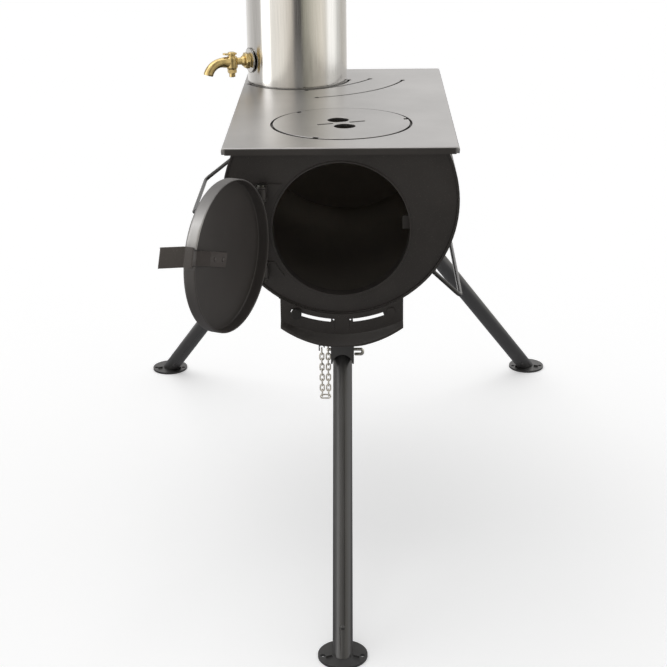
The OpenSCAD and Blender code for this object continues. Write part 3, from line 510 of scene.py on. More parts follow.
def filleted(points, radius, steps):
    """A path with each inner corner turned into an arc that touches both of its straight runs: where the
    path turns by t, the arc starts r tan(t / 2) before the corner."""
    p = np.asarray(points, float)
    radii = np.broadcast_to(np.asarray(radius, float), (len(p) - 2,))
    into = p[1:-1] - p[:-2]
    out = p[2:] - p[1:-1]
    into /= np.linalg.norm(into, axis=1, keepdims=True)
    out /= np.linalg.norm(out, axis=1, keepdims=True)
    turn = np.arccos(np.clip((into * out).sum(1), -1, 1))
    side = out - (into * out).sum(1, keepdims=True) * into
    side /= np.maximum(np.linalg.norm(side, axis=1, keepdims=True), 1e-12)
    start = p[1:-1] - into * (radii * np.tan(turn / 2))[:, None]
    a = turn[:, None] * np.linspace(0, 1, steps)[None, :]
    arcs = (start[:, None] + radii[:, None, None] * (np.sin(a)[..., None] * into[:, None]
            + (1 - np.cos(a))[..., None] * side[:, None]))
    return np.concatenate([p[:1], arcs.reshape(-1, p.shape[1]), p[-1:]])


def looped(points, radius, steps):
    """A closed outline with every corner turned into an arc."""
    p = np.asarray(points, float)
    ring = np.concatenate([p[-1:], p, p[:1]])
    return filleted(ring, radius, steps)[1:-1]


def round_the_circle(sides):
    """Angles in equal steps round a circle."""
    return np.linspace(0, 2 * np.pi, sides, endpoint=False)


def turned(profile, sides):
    """A profile of (radius, height) carried round the Z axis: x = r cos a, y = r sin a, z = h."""
    r, h = np.asarray(profile, float).T
    a = round_the_circle(sides)
    return np.stack([r[:, None] * np.cos(a), r[:, None] * np.sin(a), np.repeat(h[:, None], sides, 1)], -1)


def headings(path):
    """The unit direction of a path at each of its points."""
    along = np.gradient(path, axis=0)
    return along / np.linalg.norm(along, axis=1, keepdims=True)


def carried(path, section, across, size=1.0):
    """A section carried along a path that lies in one plane. The section's first number runs towards the
    side of the path, its second along the plane's normal, and size scales them from place to place."""
    path = np.asarray(path, float)
    across = np.asarray(across, float) / np.linalg.norm(across)
    side = np.cross(across, headings(path))
    side /= np.linalg.norm(side, axis=1, keepdims=True)
    size = np.broadcast_to(size, (len(path), 2))
    grown = np.asarray(section, float)[None] * size[:, None]
    return path[:, None] + side[:, None] * grown[..., :1] + across * grown[..., 1:]


def ring_of(radius, sides):
    """A circle's points, r cos a and r sin a."""
    a = round_the_circle(sides)
    return np.stack([np.cos(a), np.sin(a)], -1) * radius


def rod(path, radius, across, sides=20, nose=4, reach=0.6):
    """A round rod along a path, its two ends rounded over: with a from 0 to a quarter turn, the section
    shrinks by cos a as it moves out by reach times the radius times sin a."""
    a = np.linspace(0, np.pi / 2, nose)
    first, last = path[0] - path[1], path[-1] - path[-2]
    first /= np.linalg.norm(first)
    last /= np.linalg.norm(last)
    head = path[0] + first * (reach * radius * (np.sin(a[::-1]) - 1))[:, None]
    tail = path[-1] + last * (reach * radius * (np.sin(a) - 1))[:, None]
    shrink = np.maximum(np.cos(a), 0.02)
    size = np.concatenate([shrink[::-1], np.ones(len(path) - 2), shrink])
    return carried(np.concatenate([head, path[1:-1], tail]), ring_of(radius, sides), across, size[:, None])


def moved(p, at=(0, 0, 0), turn=None):
    """Points turned by a 3x3 matrix, then moved."""
    p = np.asarray(p, float)
    if turn is not None:
        p = p @ np.asarray(turn, float).T
    return p + np.asarray(at, float)


def turn_about(axis, degrees):
    """The 3x3 matrix of a turn about X, Y or Z."""
    return np.array(Matrix.Rotation(math.radians(degrees), 3, axis))


FORWARD = turn_about("X", 90)  # an upright shape then points to the front


def signed_volume(points, quads):
    """Six times the volume inside the quads: the sum of a . (b x c) over the two halves of each."""
    a, b, c, d = (points[quads[:, i]] - points.mean(0) for i in range(4))
    return float((a * np.cross(b, c)).sum() + (a * np.cross(c, d)).sum())


class Skin:
    """Collects grids of points and makes them one mesh, with its faces outwards."""

    def __init__(self):
        self.points, self.faces, self.count = [], [], 0

    def grid(self, p, wrap=False):
        """Adds a tube-like grid: rows run along it, columns close round it, and wrap joins its last row to
        its first. Otherwise each end row that isn't a single point is filled."""
        rows, cols = p.shape[:2]
        index = np.arange(rows * cols).reshape(rows, cols)
        low, high = (index, np.roll(index, -1, 0)) if wrap else (index[:-1], index[1:])
        quads = np.stack([low, np.roll(low, -1, 1), np.roll(high, -1, 1), high], -1).reshape(-1, 4)
        flat = p.reshape(-1, 3)
        outwards = signed_volume(flat, quads) > 0
        self.faces += ((quads if outwards else quads[:, ::-1]) + self.count).tolist()
        for row, turned_round in () if wrap else ((0, outwards), (-1, not outwards)):
            if np.ptp(p[row], 0).max() > 1e-9:
                end = (index[row] + self.count).tolist()
                self.faces.append(end[::-1] if turned_round else end)
        self.points.append(flat)
        self.count += len(flat)
        return self

    def make(self, name, finish, body, node, slot, sharp=32):
        """The piece: doubles merged, and edges sharper than so many degrees left sharp."""
        mesh = bpy.data.meshes.new(name)
        mesh.from_pydata(np.concatenate(self.points).tolist(), [], self.faces)
        mesh.validate()
        shell = bmesh.new()
        shell.from_mesh(mesh)
        bmesh.ops.remove_doubles(shell, verts=shell.verts, dist=1e-7)
        bmesh.ops.dissolve_degenerate(shell, edges=shell.edges, dist=1e-8)
        shell.to_mesh(mesh)
        shell.free()
        mesh.shade_smooth()
        mesh.set_sharp_from_angle(angle=math.radians(sharp))
        return set_in(name, mesh, finish, body, node)


# -------- tank and flue

SHEET_T = 1 * MM  # thickness of the tank, its lid and the flue
LID_HOLE = 42 * MM
NECK_H = 28 * MM  # the flue's narrow top, which the next pipe goes over
NECK_R = 38.6 * MM


class STOVE_OT_tank(bpy.types.Operator):
    """Makes the tank's wall with its rolled foot, its lid and the lid's knob"""

    bl_idname = "stove.tank"
    bl_label = "Tank and lid"

    def execute(self, context):
        r, low, high = TANK.size[0] / 2, TANK.low[2], TANK.high[2]
        face = r - 0.1 * MM
        # The foot is rolled in by a quarter turn: 0.8 mm x (1 - sin a) in, and 0.6 mm x cos a down
        foot = np.linspace(0, np.pi / 2, 6)
        wall = np.concatenate([
            [(r - SHEET_T, low + 0.6 * MM)],
            np.stack([face - 0.8 * MM * (1 - np.sin(foot)), low + 1.2 * MM - 0.6 * MM * np.cos(foot)], -1),
            np.stack([np.full(40, face), np.linspace(low + 2 * MM, high - 2 * MM, 40)], -1),
            [(r, high - 1 * MM), (r - 0.4 * MM, high), (r - SHEET_T, high)]])
        Skin().grid(moved(turned(wall, 160), FLUE_AT), wrap=True).make(
            "tank_wall", "steel", "tank", "tank_shell", "bright_steel")

        rim, top, skirt = LID.size[0] / 2, LID.high[2], LID.low[2]
        inside, under = rim - SHEET_T, top - SHEET_T
        edge = 0.4 * MM
        section = looped(
            [(LID_HOLE, under), (inside, under), (inside, skirt), (rim, skirt), (rim, top), (LID_HOLE, top)],
            [0.3 * MM, edge, edge, edge, context.scene.stove_form.lid_edge, edge], 5)
        Skin().grid(moved(turned(section, 160), FLUE_AT), wrap=True).make(
            "tank_cover", "steel", "tank_lid", "tank_lid", "bright_steel", 50)

        knob = filleted([(0, 0), (4, 0), (4, 3.5), (6, 7.5), (6, 12), (0, 12)], [0.3, 1.5, 1.5, 1.6], 6) * MM
        Skin().grid(moved(turned(knob, 40), FLUE_AT + [0, -54.4 * MM, top])).make(
            "tank_cover_knob", "knob", "tank_lid", "tank_lid_knob", "knob")
        return {"FINISHED"}


class STOVE_OT_flue(bpy.types.Operator):
    """Makes the flue pipe, with a rolled groove and a crimped neck for the next section"""

    bl_idname = "stove.flue"
    bl_label = "Flue pipe"

    def execute(self, context):
        form = context.scene.stove_form
        r, low, high = FLUE.size[0] / 2, FLUE.low[2], FLUE.high[2]
        neck = high - NECK_H
        # The groove is 3 mm wide: r = the pipe's radius - its depth x cos a squared
        across = np.linspace(-1, 1, 9)
        outer = np.concatenate([
            np.stack([np.full(30, r - 0.05 * MM), np.linspace(low, neck - 8 * MM, 30)], -1),
            np.stack([r - form.groove * np.cos(np.pi / 2 * across) ** 2, neck + (1.5 * across - 6) * MM], -1),
            [(r, neck - 2.2 * MM)],
            np.stack([np.full(14, NECK_R), np.linspace(neck, high, 14)], -1)])
        pipe = turned(np.concatenate([outer, outer[::-1] - [SHEET_T, 0]]), 240)
        # The flutes deepen from nothing over the neck's first 6 mm: depth x (1 - cos n a) / 2
        rise = np.clip((pipe[..., 2] - neck) / (6 * MM), 0, 1)
        flutes = (1 - np.cos(form.crimps * round_the_circle(240))) / 2
        pipe[..., :2] *= (1 - rise * form.crimp / NECK_R * flutes)[..., None]
        Skin().grid(moved(pipe, FLUE_AT), wrap=True).make(
            "flue_section", "pipe", "flue_pipe", "flue_pipe", "pipe_steel")
        return {"FINISHED"}


# -------- tap
# All but TAP_AT is in millimetres in this section, until at_tap.

TAP_AT = FLUE_AT + [0, 0, Box("tap_washer").mid[2]]
TAP_TURN = 205  # degrees from the right, anticlockwise seen from above
PLUG_AT = 91.5  # the plug's upright axis, from the flue's
SPOUT_RUN = 13.5  # straight part of the spout
SPOUT_BEND = 20.0  # radius of its bend
SPOUT_TURN = 75  # degrees that it bends down
SPOUT_R = 6.3
MOUTH_R = 4.5  # its bore
OUTWARD = turn_about("Y", 90)  # an upright shape then lies along the tap


def at_tap(p):
    """Points in millimetres, x outwards from the flue's axis and z up from the tap's, moved to the tap."""
    return moved(p * MM, TAP_AT, turn_about("Z", TAP_TURN))


def along_tap(p):
    """Upright points laid along the tap."""
    return at_tap(moved(p, turn=OUTWARD))


def on_plug(p):
    """Points round the plug's upright axis."""
    return at_tap(moved(p, (PLUG_AT, 0, 0)))


def hexed(profile, flats):
    """A lathed profile whose radius is also held inside a hexagon: r = min(profile, f / cos(a mod 60))."""
    p = turned(profile, 96)
    a = round_the_circle(96)
    limit = flats / np.cos((a + np.pi / 6) % (np.pi / 3) - np.pi / 6)
    r = np.linalg.norm(p[..., :2], axis=-1)
    p[..., :2] *= np.minimum(1, limit[None] / np.maximum(r, 1e-6))[..., None]
    return p


def out_and_back(run, girth, bore):
    """A round section carried out along run with girth for its radius, and back inside it with bore for its
    radius. It faces the same way on both."""
    last = len(run) - 1
    order = np.r_[:last + 1, last, last:last + 1 - len(bore):-1]
    across = np.array([0, 1.0, 0])
    side = np.cross(across, headings(run))
    ring = ring_of(1.0, 32)
    facing = side[order][:, None] * ring[None, :, :1] + across * ring[None, :, 1:]
    return run[order][:, None] + np.concatenate([girth, bore])[:, None, None] * facing


def spout():
    """The spout's grid: a straight run and a bend. The radius swells by 12% where it leaves the plug's
    housing, by exp(-x squared), and narrows by 6% in its middle, by a sine."""
    straight = np.linspace(0, SPOUT_RUN, 8)[:-1]
    bend = np.radians(np.linspace(0, SPOUT_TURN, 22))
    run = np.concatenate([
        np.stack([straight, 0 * straight, 0 * straight], -1),
        np.stack([SPOUT_RUN + SPOUT_BEND * np.sin(bend), 0 * bend, -SPOUT_BEND * (1 - np.cos(bend))], -1)])
    travel = np.linspace(0, 1, len(run))
    swell = 1 + 0.12 * np.exp(-((travel - 0.16) / 0.09) ** 2)
    girth = SPOUT_R * swell * (1 - 0.06 * np.sin(np.pi * travel))
    girth[-3:] = SPOUT_R + np.array([0, 0.05, -0.3])
    return out_and_back(run, girth, MOUTH_R + np.array([0.4] + 9 * [0]))


def lever():
    """The lever's grid, with x from -1 to 1 along it: half width 3.5 (1 - x^6)^0.5 (1 + 0.15 x), and the
    outer half bent up by 0.7 x squared."""
    x = -np.cos(np.linspace(0, np.pi, 28))
    half_width = 3.5 * np.sqrt(np.clip(1 - x ** 6, 0, 1)) * (1 + 0.15 * x)
    path = np.stack([2.5 + 9.4 * x, 0 * x, 10.2 + 0.7 * (x > 0) * x ** 2], -1)
    section = looped([(-1.1, -1), (1.1, -1), (1.1, 1), (-1.1, 1)], 0.4, 3)
    return carried(path, section, (0, 1, 0), np.stack([np.ones(28), np.maximum(half_width, 0.05)], -1))


class STOVE_OT_tap(bpy.types.Operator):
    """Makes the tap: barrel, hexagon, plug housing and bent spout, the plug's stem and lever, seal and nut"""

    bl_idname = "stove.tap"
    bl_label = "Tap"

    def execute(self, context):
        barrel = filleted(
            [(0, 54.3), (4.8, 54.3), (4.8, 74), (6.6, 74.6), (6.6, 77), (4.7, 79), (4.7, 92), (0, 92)],
            [0.4, 0.3, 0.5, 0.6, 1.2, 0.3], 5)
        hexagon = filleted(
            [(0, 67.5), (8.9, 67.5), (10.97, 69), (10.97, 73.2), (8.9, 74.5), (0, 74.5)], 0.2, 3)
        housing = filleted(
            [(0, -9), (6.4, -9), (7.5, -7), (7.5, 5), (6.2, 7), (0, 7)], [0.5, 1.0, 1.2, 0.5], 5)
        casting = Skin()
        casting.grid(along_tap(turned(barrel, 48)))
        casting.grid(along_tap(hexed(hexagon, 9.5)))
        casting.grid(on_plug(turned(housing, 48)))
        casting.grid(on_plug(spout()))
        casting.make("tap_casting", "brass", "tank", "tap_body", "brass", 40)

        stem = filleted([(0, -19.5), (4, -19.5), (4, 9), (0, 9)], 0.6, 4)
        boss = filleted([(0, 8), (4.8, 8), (4.8, 12.6), (0, 12.6)], [0.4, 1.2], 4)
        plug = Skin()
        plug.grid(on_plug(turned(stem, 36)))
        plug.grid(on_plug(lever()))
        plug.grid(on_plug(turned(boss, 36)))
        plug.make("tap_lever", "brass", "tap_plug", "tap_plug", "brass", 40)

        seal = looped([(15.3, 66.4), (16, 66.4), (16, 67.1), (15.3, 67.1)], 0.25, 4)
        Skin().grid(along_tap(turned(seal, 64)), wrap=True).make(
            "tap_seal", "rubber", "tank", "tap_washer", "rubber")
        face = filleted([(0, 65.6), (15.7, 65.6), (15.7, 67.2), (0, 67.5)], [0.2, 0.5], 6)
        Skin().grid(along_tap(turned(face, 64))).make(
            "tap_seal_face", "steel", "tank", "tap_washer", "rubber")

        nut = filleted([(0, -14.3), (5.2, -14.3), (6.2, -13.4), (6.2, -10), (5.2, -9.3), (0, -9.3)], 0.2, 3)
        Skin().grid(on_plug(hexed(nut, 5.2))).make(
            "tap_lower_nut", "brass", "tap_plug", "tap_plug_nut", "brass", 25)
        return {"FINISHED"}


# -------- door

DOOR_R = 82 * MM
DOOR_DEPTH = 14.5 * MM
DOOR_T = 2 * MM
DOOR_FOLD = 4 * MM  # the notch leaves the pan as it is up to this depth
FACE_Y = -231 * MM  # the shut door's outside
NOTCH_FLOOR = 11 * MM  # rim height left in the notch, from the outside face
NOTCH_GAP = 0.4 * MM  # between the notch's side and the strip
STRIP_T = 1.5 * MM
STRIP_W = 16 * MM
STRIP_TILT = 18.5  # degrees
STRIP_DROP = 4.8 * MM  # its middle line runs this far below the door's middle
STRIP_RISE = 11 * MM  # its outer run is this far from the pan's inside
GRIP_W = 21.5 * MM
GRIP_LEN = 25 * MM
GRIP_FLARE = math.radians(50)
HEM_T = 1.2 * MM  # the turned edge along the grip's top


def open_door(p):
    """Points of the shut door, swung open about the hinge."""
    return moved(moved(p, -HINGE_AT), HINGE_AT, turn_about("Z", -DOOR_OPEN))


def at_strip(p):
    """Points of the level strip (x along it, y into the stove, z across it), tilted to where it sits and
    swung open with the door."""
    dropped = moved(p, (0, 0, -STRIP_DROP))
    return open_door(moved(dropped, (0, FACE_Y + DOOR_T, OPENING_Z), turn_about("Y", -STRIP_TILT)))


def pan_profile(edge):
    """(radius, depth) from the middle of the pan's outside, round its lip, to the middle of its inside."""
    r, t, d = DOOR_R, DOOR_T, DOOR_DEPTH
    outer = filleted([(0, 0), (r, 0), (r, d)], edge, 7)
    inner = filleted([(r - t, d), (r - t, t), (0, t)], 1.4 * MM, 6)
    lip = np.array([r, d]) - t / 2 + t / 2 * ring_of(1.0, 12)[:7]
    return np.concatenate([
        outer[:1], between(outer[0], outer[1], 14), outer[1:-1], between(outer[-2], lip[0], 6),
        lip, between(lip[-1], inner[1], 6), inner[1:-1], between(inner[-2], inner[-1], 14), inner[-1:]])


def pan(edge):
    """The pan's grid: the profile carried round its axis, x = r cos a, z = r sin a. In the notch, what is
    deeper than the fold is squeezed down to the notch's floor."""
    notch = math.radians(STRIP_TILT) - math.asin(STRIP_DROP / DOOR_R)
    half = math.asin((STRIP_W / 2 + NOTCH_GAP) / DOOR_R)
    soft = 0.006  # radians that the notch's sides take to run down
    coarse = np.linspace(-np.pi, np.pi, 181)[:-1]
    fine = notch + np.concatenate([side * half + np.linspace(-2 * soft, 2 * soft, 9) for side in (-1, 1)])
    angles = np.unique(np.concatenate([coarse, fine]))
    cut = np.clip((half - np.abs(angles - notch)) / soft, -1, 1) * 0.5 + 0.5
    radius, depth = np.split(pan_profile(edge), 2, 1)
    left = (NOTCH_FLOOR - DOOR_FOLD) / (DOOR_DEPTH - DOOR_FOLD)
    y = FACE_Y + depth - np.maximum(depth - DOOR_FOLD, 0) * (1 - left) * cut
    return open_door(np.stack([radius * np.cos(angles), y, OPENING_Z + radius * np.sin(angles)], -1))


def strip_path(sag):
    """The strip's middle line: flat on the pan, up a ramp, out through the notch, down the rim's outside and
    away as the grip, which also sags. With it, the radius at which it runs down the rim."""
    mid, rim = STRIP_T / 2, DOOR_R + 1.15 * MM
    out = STRIP_RISE - mid
    grip = (rim + GRIP_LEN * math.cos(GRIP_FLARE), -GRIP_LEN * math.sin(GRIP_FLARE))
    track = filleted([(-6 * MM, mid), (30 * MM, mid), (58 * MM, 4 * MM + mid), (77 * MM, out), (rim, out),
                      (rim, 0.3 * MM), grip], [6 * MM, 6 * MM, 5 * MM, 1.2 * MM, 3 * MM], 7)
    track = np.concatenate([track[:1], between(track[0], track[1], 8), track[1:-1],
                            between(track[-2], track[-1], 8), track[-1:]])
    x, y = track.T
    return np.stack([x, y, -sag * np.clip((x - rim) / (grip[0] - rim), 0, 1)], -1), rim


class STOVE_OT_door(bpy.types.Operator):
    """Makes the pressed door pan and the bent strip that is its latch and grip"""

    bl_idname = "stove.door"
    bl_label = "Door"

    def execute(self, context):
        form = context.scene.stove_form
        Skin().grid(pan(form.door_edge)).make(
            "door_dish", "dish", "door", "door_pan", "black_steel")

        path, rim = strip_path(form.sag)
        thick, wide = STRIP_T / 2, STRIP_W / 2
        section = looped([(-thick, -wide), (thick, -wide), (thick, wide), (-thick, wide)], 0.35 * MM, 3)
        beyond = np.clip((path[:, 0] - rim) / (0.9 * MM) + 1, 0, 1)
        widths = np.stack([np.ones(len(path)), 1 + beyond * (GRIP_W / STRIP_W - 1)], -1)
        half, inner, outer = HEM_T / 2, -3.6 * MM, 0.2 * MM
        hem = looped([(inner, -half), (outer, -half), (outer, half), (inner, half)], 0.3 * MM, 3)
        hem_path = path[-8:] + [0, 0, GRIP_W / 2 - half]
        strip = Skin()
        strip.grid(at_strip(carried(path, section, (0, 0, 1), widths)))
        strip.grid(at_strip(carried(hem_path, hem, (0, 0, 1))))
        strip.make("door_latch_strip", "door", "door", "door_handle", "black_steel", 40)
        return {"FINISHED"}


# -------- wires

WIRE_R = 2.5 * MM
PIVOT_R = BODY_R + 6 * MM  # the lugs' holes, from the drum's axis
STUB = 9 * MM  # the turned-in ends
BEND_R, STUB_BEND_R = 7 * MM, 3.2 * MM

# Of each wire: its side, degrees of its lugs up from the drum's lowest line, degrees that it droops, and
# in millimetres the place of its front end, its length and its arms' length
WIRES = {
    "carry_handle": (-1, 76.6, 38, 5, 165, 70),
    "left_bail": (-1, 48.5, 43.2, -180, 240, 46.5),
    "right_bail": (1, 48.5, 43.2, -180, 240, 46.5),
}


def wire_path(side, angle, droop, y, length, arm):
    """The wire's middle line: a stub inwards, an arm out, the grip bar, an arm back and a stub. Also the
    normal of its plane."""
    a, d = math.radians(angle), math.radians(droop)
    out = np.array([side * math.cos(d), 0, -math.sin(d)])
    back = np.array([0, 1.0, 0])
    front = np.array([side * PIVOT_R * math.sin(a), y * MM, AXIS_Z - PIVOT_R * math.cos(a)])
    rear = front + back * length * MM
    reach = out * arm * MM
    corners = [front + back * STUB, front, front + reach, rear + reach, rear, rear - back * STUB]
    return filleted(corners, [STUB_BEND_R, BEND_R, BEND_R, STUB_BEND_R], 9), np.cross(out, back)


class STOVE_OT_wires(bpy.types.Operator):
    """Bends the carrying handle and the two lower bails from round wire"""

    bl_idname = "stove.wires"
    bl_label = "Wire handles"

    def execute(self, context):
        for name, sizes in WIRES.items():
            path, across = wire_path(*sizes)
            Skin().grid(rod(path, WIRE_R, across)).make(name + "_wire", "wire", name, name, "dark_steel", 60)
        return {"FINISHED"}


# -------- small hardware

RIVET_R, RIVET_H = 2.5 * MM, 1.5 * MM
STRIP_RIVETS = (2 * MM, 20 * MM)  # along the strip
STRAP_RIVETS = (25 * MM, 35 * MM)  # along the straps, from the hinge
STRAP_RISE = 45 * MM  # of the straps, from the door's middle
PIN_AT = np.array([0, -186, 267]) * MM  # the front leg's pivot
PIN_R = 1.8 * MM


def dome(radius, height, foot=0.25):
    """A rivet's head: a short upright foot, then a cap, r = R cos a and h = H (foot + (1 - foot) sin a)."""
    a = np.linspace(0, np.pi / 2, 7)
    cap = np.stack([radius * np.cos(a), height * (foot + (1 - foot) * np.sin(a))], -1)
    return np.concatenate([[(0, 0), (radius, 0)], cap])


class STOVE_OT_hardware(bpy.types.Operator):
    """Makes the heads of the door's rivets and the hairpin of the front leg"""

    bl_idname = "stove.hardware"
    bl_label = "Small hardware"

    def execute(self, context):
        rivets = Skin()
        head = turned(dome(RIVET_R, RIVET_H), 24)
        for x in STRIP_RIVETS:
            rivets.grid(at_strip(moved(head, (x, STRIP_T, 0), turn_about("X", -90))))
        for rise in (-STRAP_RISE, STRAP_RISE):
            for x in STRAP_RIVETS:
                at = (HINGE_AT[0] + x, FACE_Y - 2 * MM, OPENING_Z + rise)
                rivets.grid(open_door(moved(head, at, FORWARD)))
        rivets.make("door_rivet_heads", "door", "door", "door_rivets", "dark_steel", 50)

        bend = 25.25 * MM - PIN_R
        line = filleted([(-18.75 * MM, 0, 0), (bend, 0, 0), (bend, 0, -6 * MM), (13.6 * MM, 0, -6 * MM)],
                        2.3 * MM, 9)
        Skin().grid(rod(line + PIN_AT, PIN_R, (0, 1, 0))).make(
            "leg_hairpin", "zinc", "leg_pin", "front_leg_pin", "zinc", 60)
        return {"FINISHED"}


# -------- studio

CAMERA_AT = Vector((0.0218, -1.8299, 0.9092))
PITCH, YAW, ROLL = (math.radians(v) for v in (20.736, -1.123, -0.687))
FLOOR_HALF, FLOOR_Z = 30.0, -0.2 * MM
OVERHEAD_TILT = (math.radians(-14), math.radians(-16), 0)
OVERHEAD_SPREAD = math.radians(70)
WHITE = (1, 1, 1)

# What polished metal sees round the room: (degrees from the front, the right positive; colour)
ROOM = [
    (-180, (0.95, 0.94, 0.93)), (-150, (0.95, 0.94, 0.93)), (-107, (0.62, 0.61, 0.60)),
    (-88, (0.72, 0.71, 0.70)), (-80, (2.8, 2.8, 2.8)), (-67, (2.8, 2.8, 2.8)), (-58, (1.17, 1.15, 1.10)),
    (-30, (1.13, 1.09, 1.02)), (-9, (0.80, 0.75, 0.68)), (-1, (0.15, 0.14, 0.135)),
    (11, (0.08, 0.075, 0.07)), (20, (0.44, 0.43, 0.36)), (38, (0.76, 0.73, 0.64)), (62, (1.06, 1.01, 0.91)),
    (72, (0.97, 0.94, 0.88)), (80, (1.45, 1.45, 1.43)), (96, (1.45, 1.45, 1.43)),
    (110, (0.86, 0.86, 0.84)), (128, (0.66, 0.64, 0.60)), (180, (0.80, 0.78, 0.76))]
# And above the floor: the front half of that, its dark lifted, with a plainer back half
DARKEST_ABOVE = 0.3
BACK_LEFT = [(-180, (0.72, 0.71, 0.70)), (-130, (0.60, 0.59, 0.58)), (-93, (0.80, 0.79, 0.78))]
BACK_RIGHT = [(112, (1.10, 1.09, 1.08)), (180, (0.93, 0.92, 0.91))]
FRONT = [(a, tuple(max(v, DARKEST_ABOVE) for v in colour)) for a, colour in ROOM if -92 < a < 97]
UPPER = BACK_LEFT + FRONT + BACK_RIGHT
PEAK = max(max(colour) for _, colour in ROOM)


def camera_axes():
    """The camera's right, up and backward directions from its yaw, pitch and roll."""
    forward = Vector((math.sin(YAW) * math.cos(PITCH), math.cos(YAW) * math.cos(PITCH), -math.sin(PITCH)))
    right = Vector((math.cos(YAW), -math.sin(YAW), 0))
    up = right.cross(forward)
    c, s = math.cos(ROLL), math.sin(ROLL)
    return right * c + up * s, up * c - right * s, -forward


def room_colours(g, centre, stops):
    """A colour from the direction round the upright axis through centre: atan2(x, -y) looked up in stops."""
    away = g.vector("SUBTRACT", g.coords, tuple(centre))
    turn = g.maths("ARCTAN2", g.part("X", away), g.maths("MULTIPLY", g.part("Y", away), -1))
    ramp = g.add("ShaderNodeValToRGB", g.spread(turn, 0, 1, -math.pi, math.pi))
    bar = ramp.color_ramp
    while len(bar.elements) < len(stops):
        bar.elements.new(0.5)
    for element, (azimuth, colour) in zip(bar.elements, stops):
        element.position = azimuth / 360 + 0.5
        element.color = (*(c / PEAK for c in colour), 1)
    return ramp.outputs["Color"]


def floor_material(colour, lift):
    """Pale floor: lifted evenly for the camera alone, and for polished metal the bright and dark sides of a
    room, found from the place on the floor round the tank."""
    g = Finish("studio_floor")
    g.set(Base_Color=g.blend(g.spread(g.noise(3.0, 2.0), 0, 1), scaled(colour, 0.995), colour), Roughness=0.9,
          Specular_IOR_Level=0.0)
    path = g.add("ShaderNodeLightPath")
    glow = g.add("ShaderNodeEmission", Strength=g.maths("MULTIPLY", path.outputs["Is Camera Ray"], lift))
    lifted = g.add("ShaderNodeAddShader", g.shader.outputs[0], glow.outputs[0])
    near = g.spread(g.vector("LENGTH", g.coords, out="Value"), 1, 0, 0.75, 1.15)
    shown = g.blend(near, room_colours(g, FLUE_AT, ROOM), (0.085, 0.085, 0.09))
    seen = g.add("ShaderNodeEmission", Color=shown, Strength=PEAK)
    both = g.add("ShaderNodeMixShader", path.outputs["Is Glossy Ray"], lifted.outputs[0], seen.outputs[0])
    g.feed(g.tree.nodes["Material Output"].inputs["Surface"], both.outputs[0])
    return g.material


def sky_nodes(world, strength):
    """Even light, weaker from the front than from behind; white for the camera, the room for metal."""
    g = Graph(world.node_tree, "Generated")
    sky = g.tree.nodes["Background"]
    g.feed(sky.inputs["Color"], WHITE)
    slope = g.spread(g.part("Y"), 0.35, 1.1, -0.9, 0.5)
    g.feed(sky.inputs["Strength"], g.maths("MULTIPLY", slope, strength))
    seen = g.add("ShaderNodeBackground", Color=WHITE)
    room = g.add("ShaderNodeBackground", Color=room_colours(g, (0, 0, 0), UPPER), Strength=PEAK)
    path = g.add("ShaderNodeLightPath")
    light = sky.outputs[0]
    for ray, over in (("Is Glossy Ray", room), ("Is Camera Ray", seen), ("Is Transmission Ray", seen)):
        light = g.add("ShaderNodeMixShader", path.outputs[ray], light, over.outputs[0]).outputs[0]
    g.feed(g.tree.nodes["World Output"].inputs["Surface"], light)


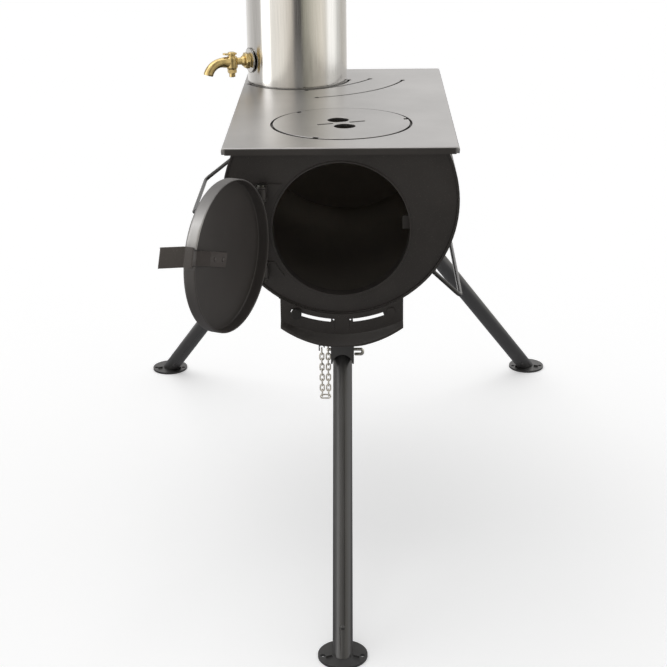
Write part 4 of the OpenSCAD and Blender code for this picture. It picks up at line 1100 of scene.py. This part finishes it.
class STOVE_OT_studio(bpy.types.Operator):
    """Sets the camera, the pale floor and the soft light"""

    bl_idname = "stove.studio"
    bl_label = "Studio"

    def execute(self, context):
        studio = context.scene.stove_studio
        context.scene.view_settings.view_transform = "Standard"

        camera = bpy.data.objects.new("studio_camera", bpy.data.cameras.new("studio_camera"))
        camera.data.lens = studio.lens
        camera.data.sensor_width = 36
        camera.data.clip_end = 100
        camera.matrix_world = Matrix.Translation(CAMERA_AT) @ Matrix(camera_axes()).transposed().to_4x4()
        context.collection.objects.link(camera)
        context.scene.camera = camera

        mesh = bpy.data.meshes.new("studio_floor")
        corners = ((-1, -1), (1, -1), (1, 1), (-1, 1))
        corners = [(x * FLOOR_HALF, y * FLOOR_HALF, FLOOR_Z) for x, y in corners]
        mesh.from_pydata(corners, [], [(0, 1, 2, 3)])
        mesh.materials.append(floor_material(studio.floor, studio.lift))
        floor = bpy.data.objects.new("studio_floor", mesh)
        context.collection.objects.link(floor)

        overhead = bpy.data.objects.new("overhead", bpy.data.lights.new("overhead", "SUN"))
        overhead.data.energy = studio.key
        overhead.data.angle = OVERHEAD_SPREAD
        overhead.rotation_euler = OVERHEAD_TILT
        context.collection.objects.link(overhead)

        world = bpy.data.worlds.new("studio_sky")
        world.use_nodes = True
        context.scene.world = world
        sky_nodes(world, studio.sky)
        return {"FINISHED"}


# -------- panel and registration


class STOVE_PT_panel(bpy.types.Panel):
    """Lists the stove's pieces and settings"""

    bl_label = "Tent stove"
    bl_idname = "STOVE_PT_panel"
    bl_space_type = "VIEW_3D"
    bl_region_type = "UI"
    bl_category = "Tent stove"

    def draw(self, context):
        for key in GROUPS:
            group = getattr(context.scene, key)
            box = self.layout.box()
            for name in group.bl_rna.properties.keys():
                if name not in {"rna_type", "name"}:
                    box.prop(group, name)
        for operator in OPERATORS:
            self.layout.operator(operator.bl_idname)


GROUPS = {"stove_paint": StovePaint, "stove_form": StoveForm, "stove_studio": StoveStudio}
OPERATORS = (STOVE_OT_finishes, STOVE_OT_packed_nodes, STOVE_OT_cook_top, STOVE_OT_tank, STOVE_OT_flue,
             STOVE_OT_tap, STOVE_OT_door, STOVE_OT_wires, STOVE_OT_hardware, STOVE_OT_studio)
CLASSES = (*GROUPS.values(), *OPERATORS, STOVE_PT_panel)


def register():
    for cls in CLASSES:
        bpy.utils.register_class(cls)
    for key, group in GROUPS.items():
        setattr(bpy.types.Scene, key, bpy.props.PointerProperty(type=group))


def unregister():
    for key in GROUPS:
        delattr(bpy.types.Scene, key)
    for cls in reversed(CLASSES):
        bpy.utils.unregister_class(cls)


def main():
    register()
    for operator in OPERATORS:
        group, name = operator.bl_idname.split(".")
        getattr(getattr(bpy.ops, group), name)()


if __name__ == "__main__":
    main()
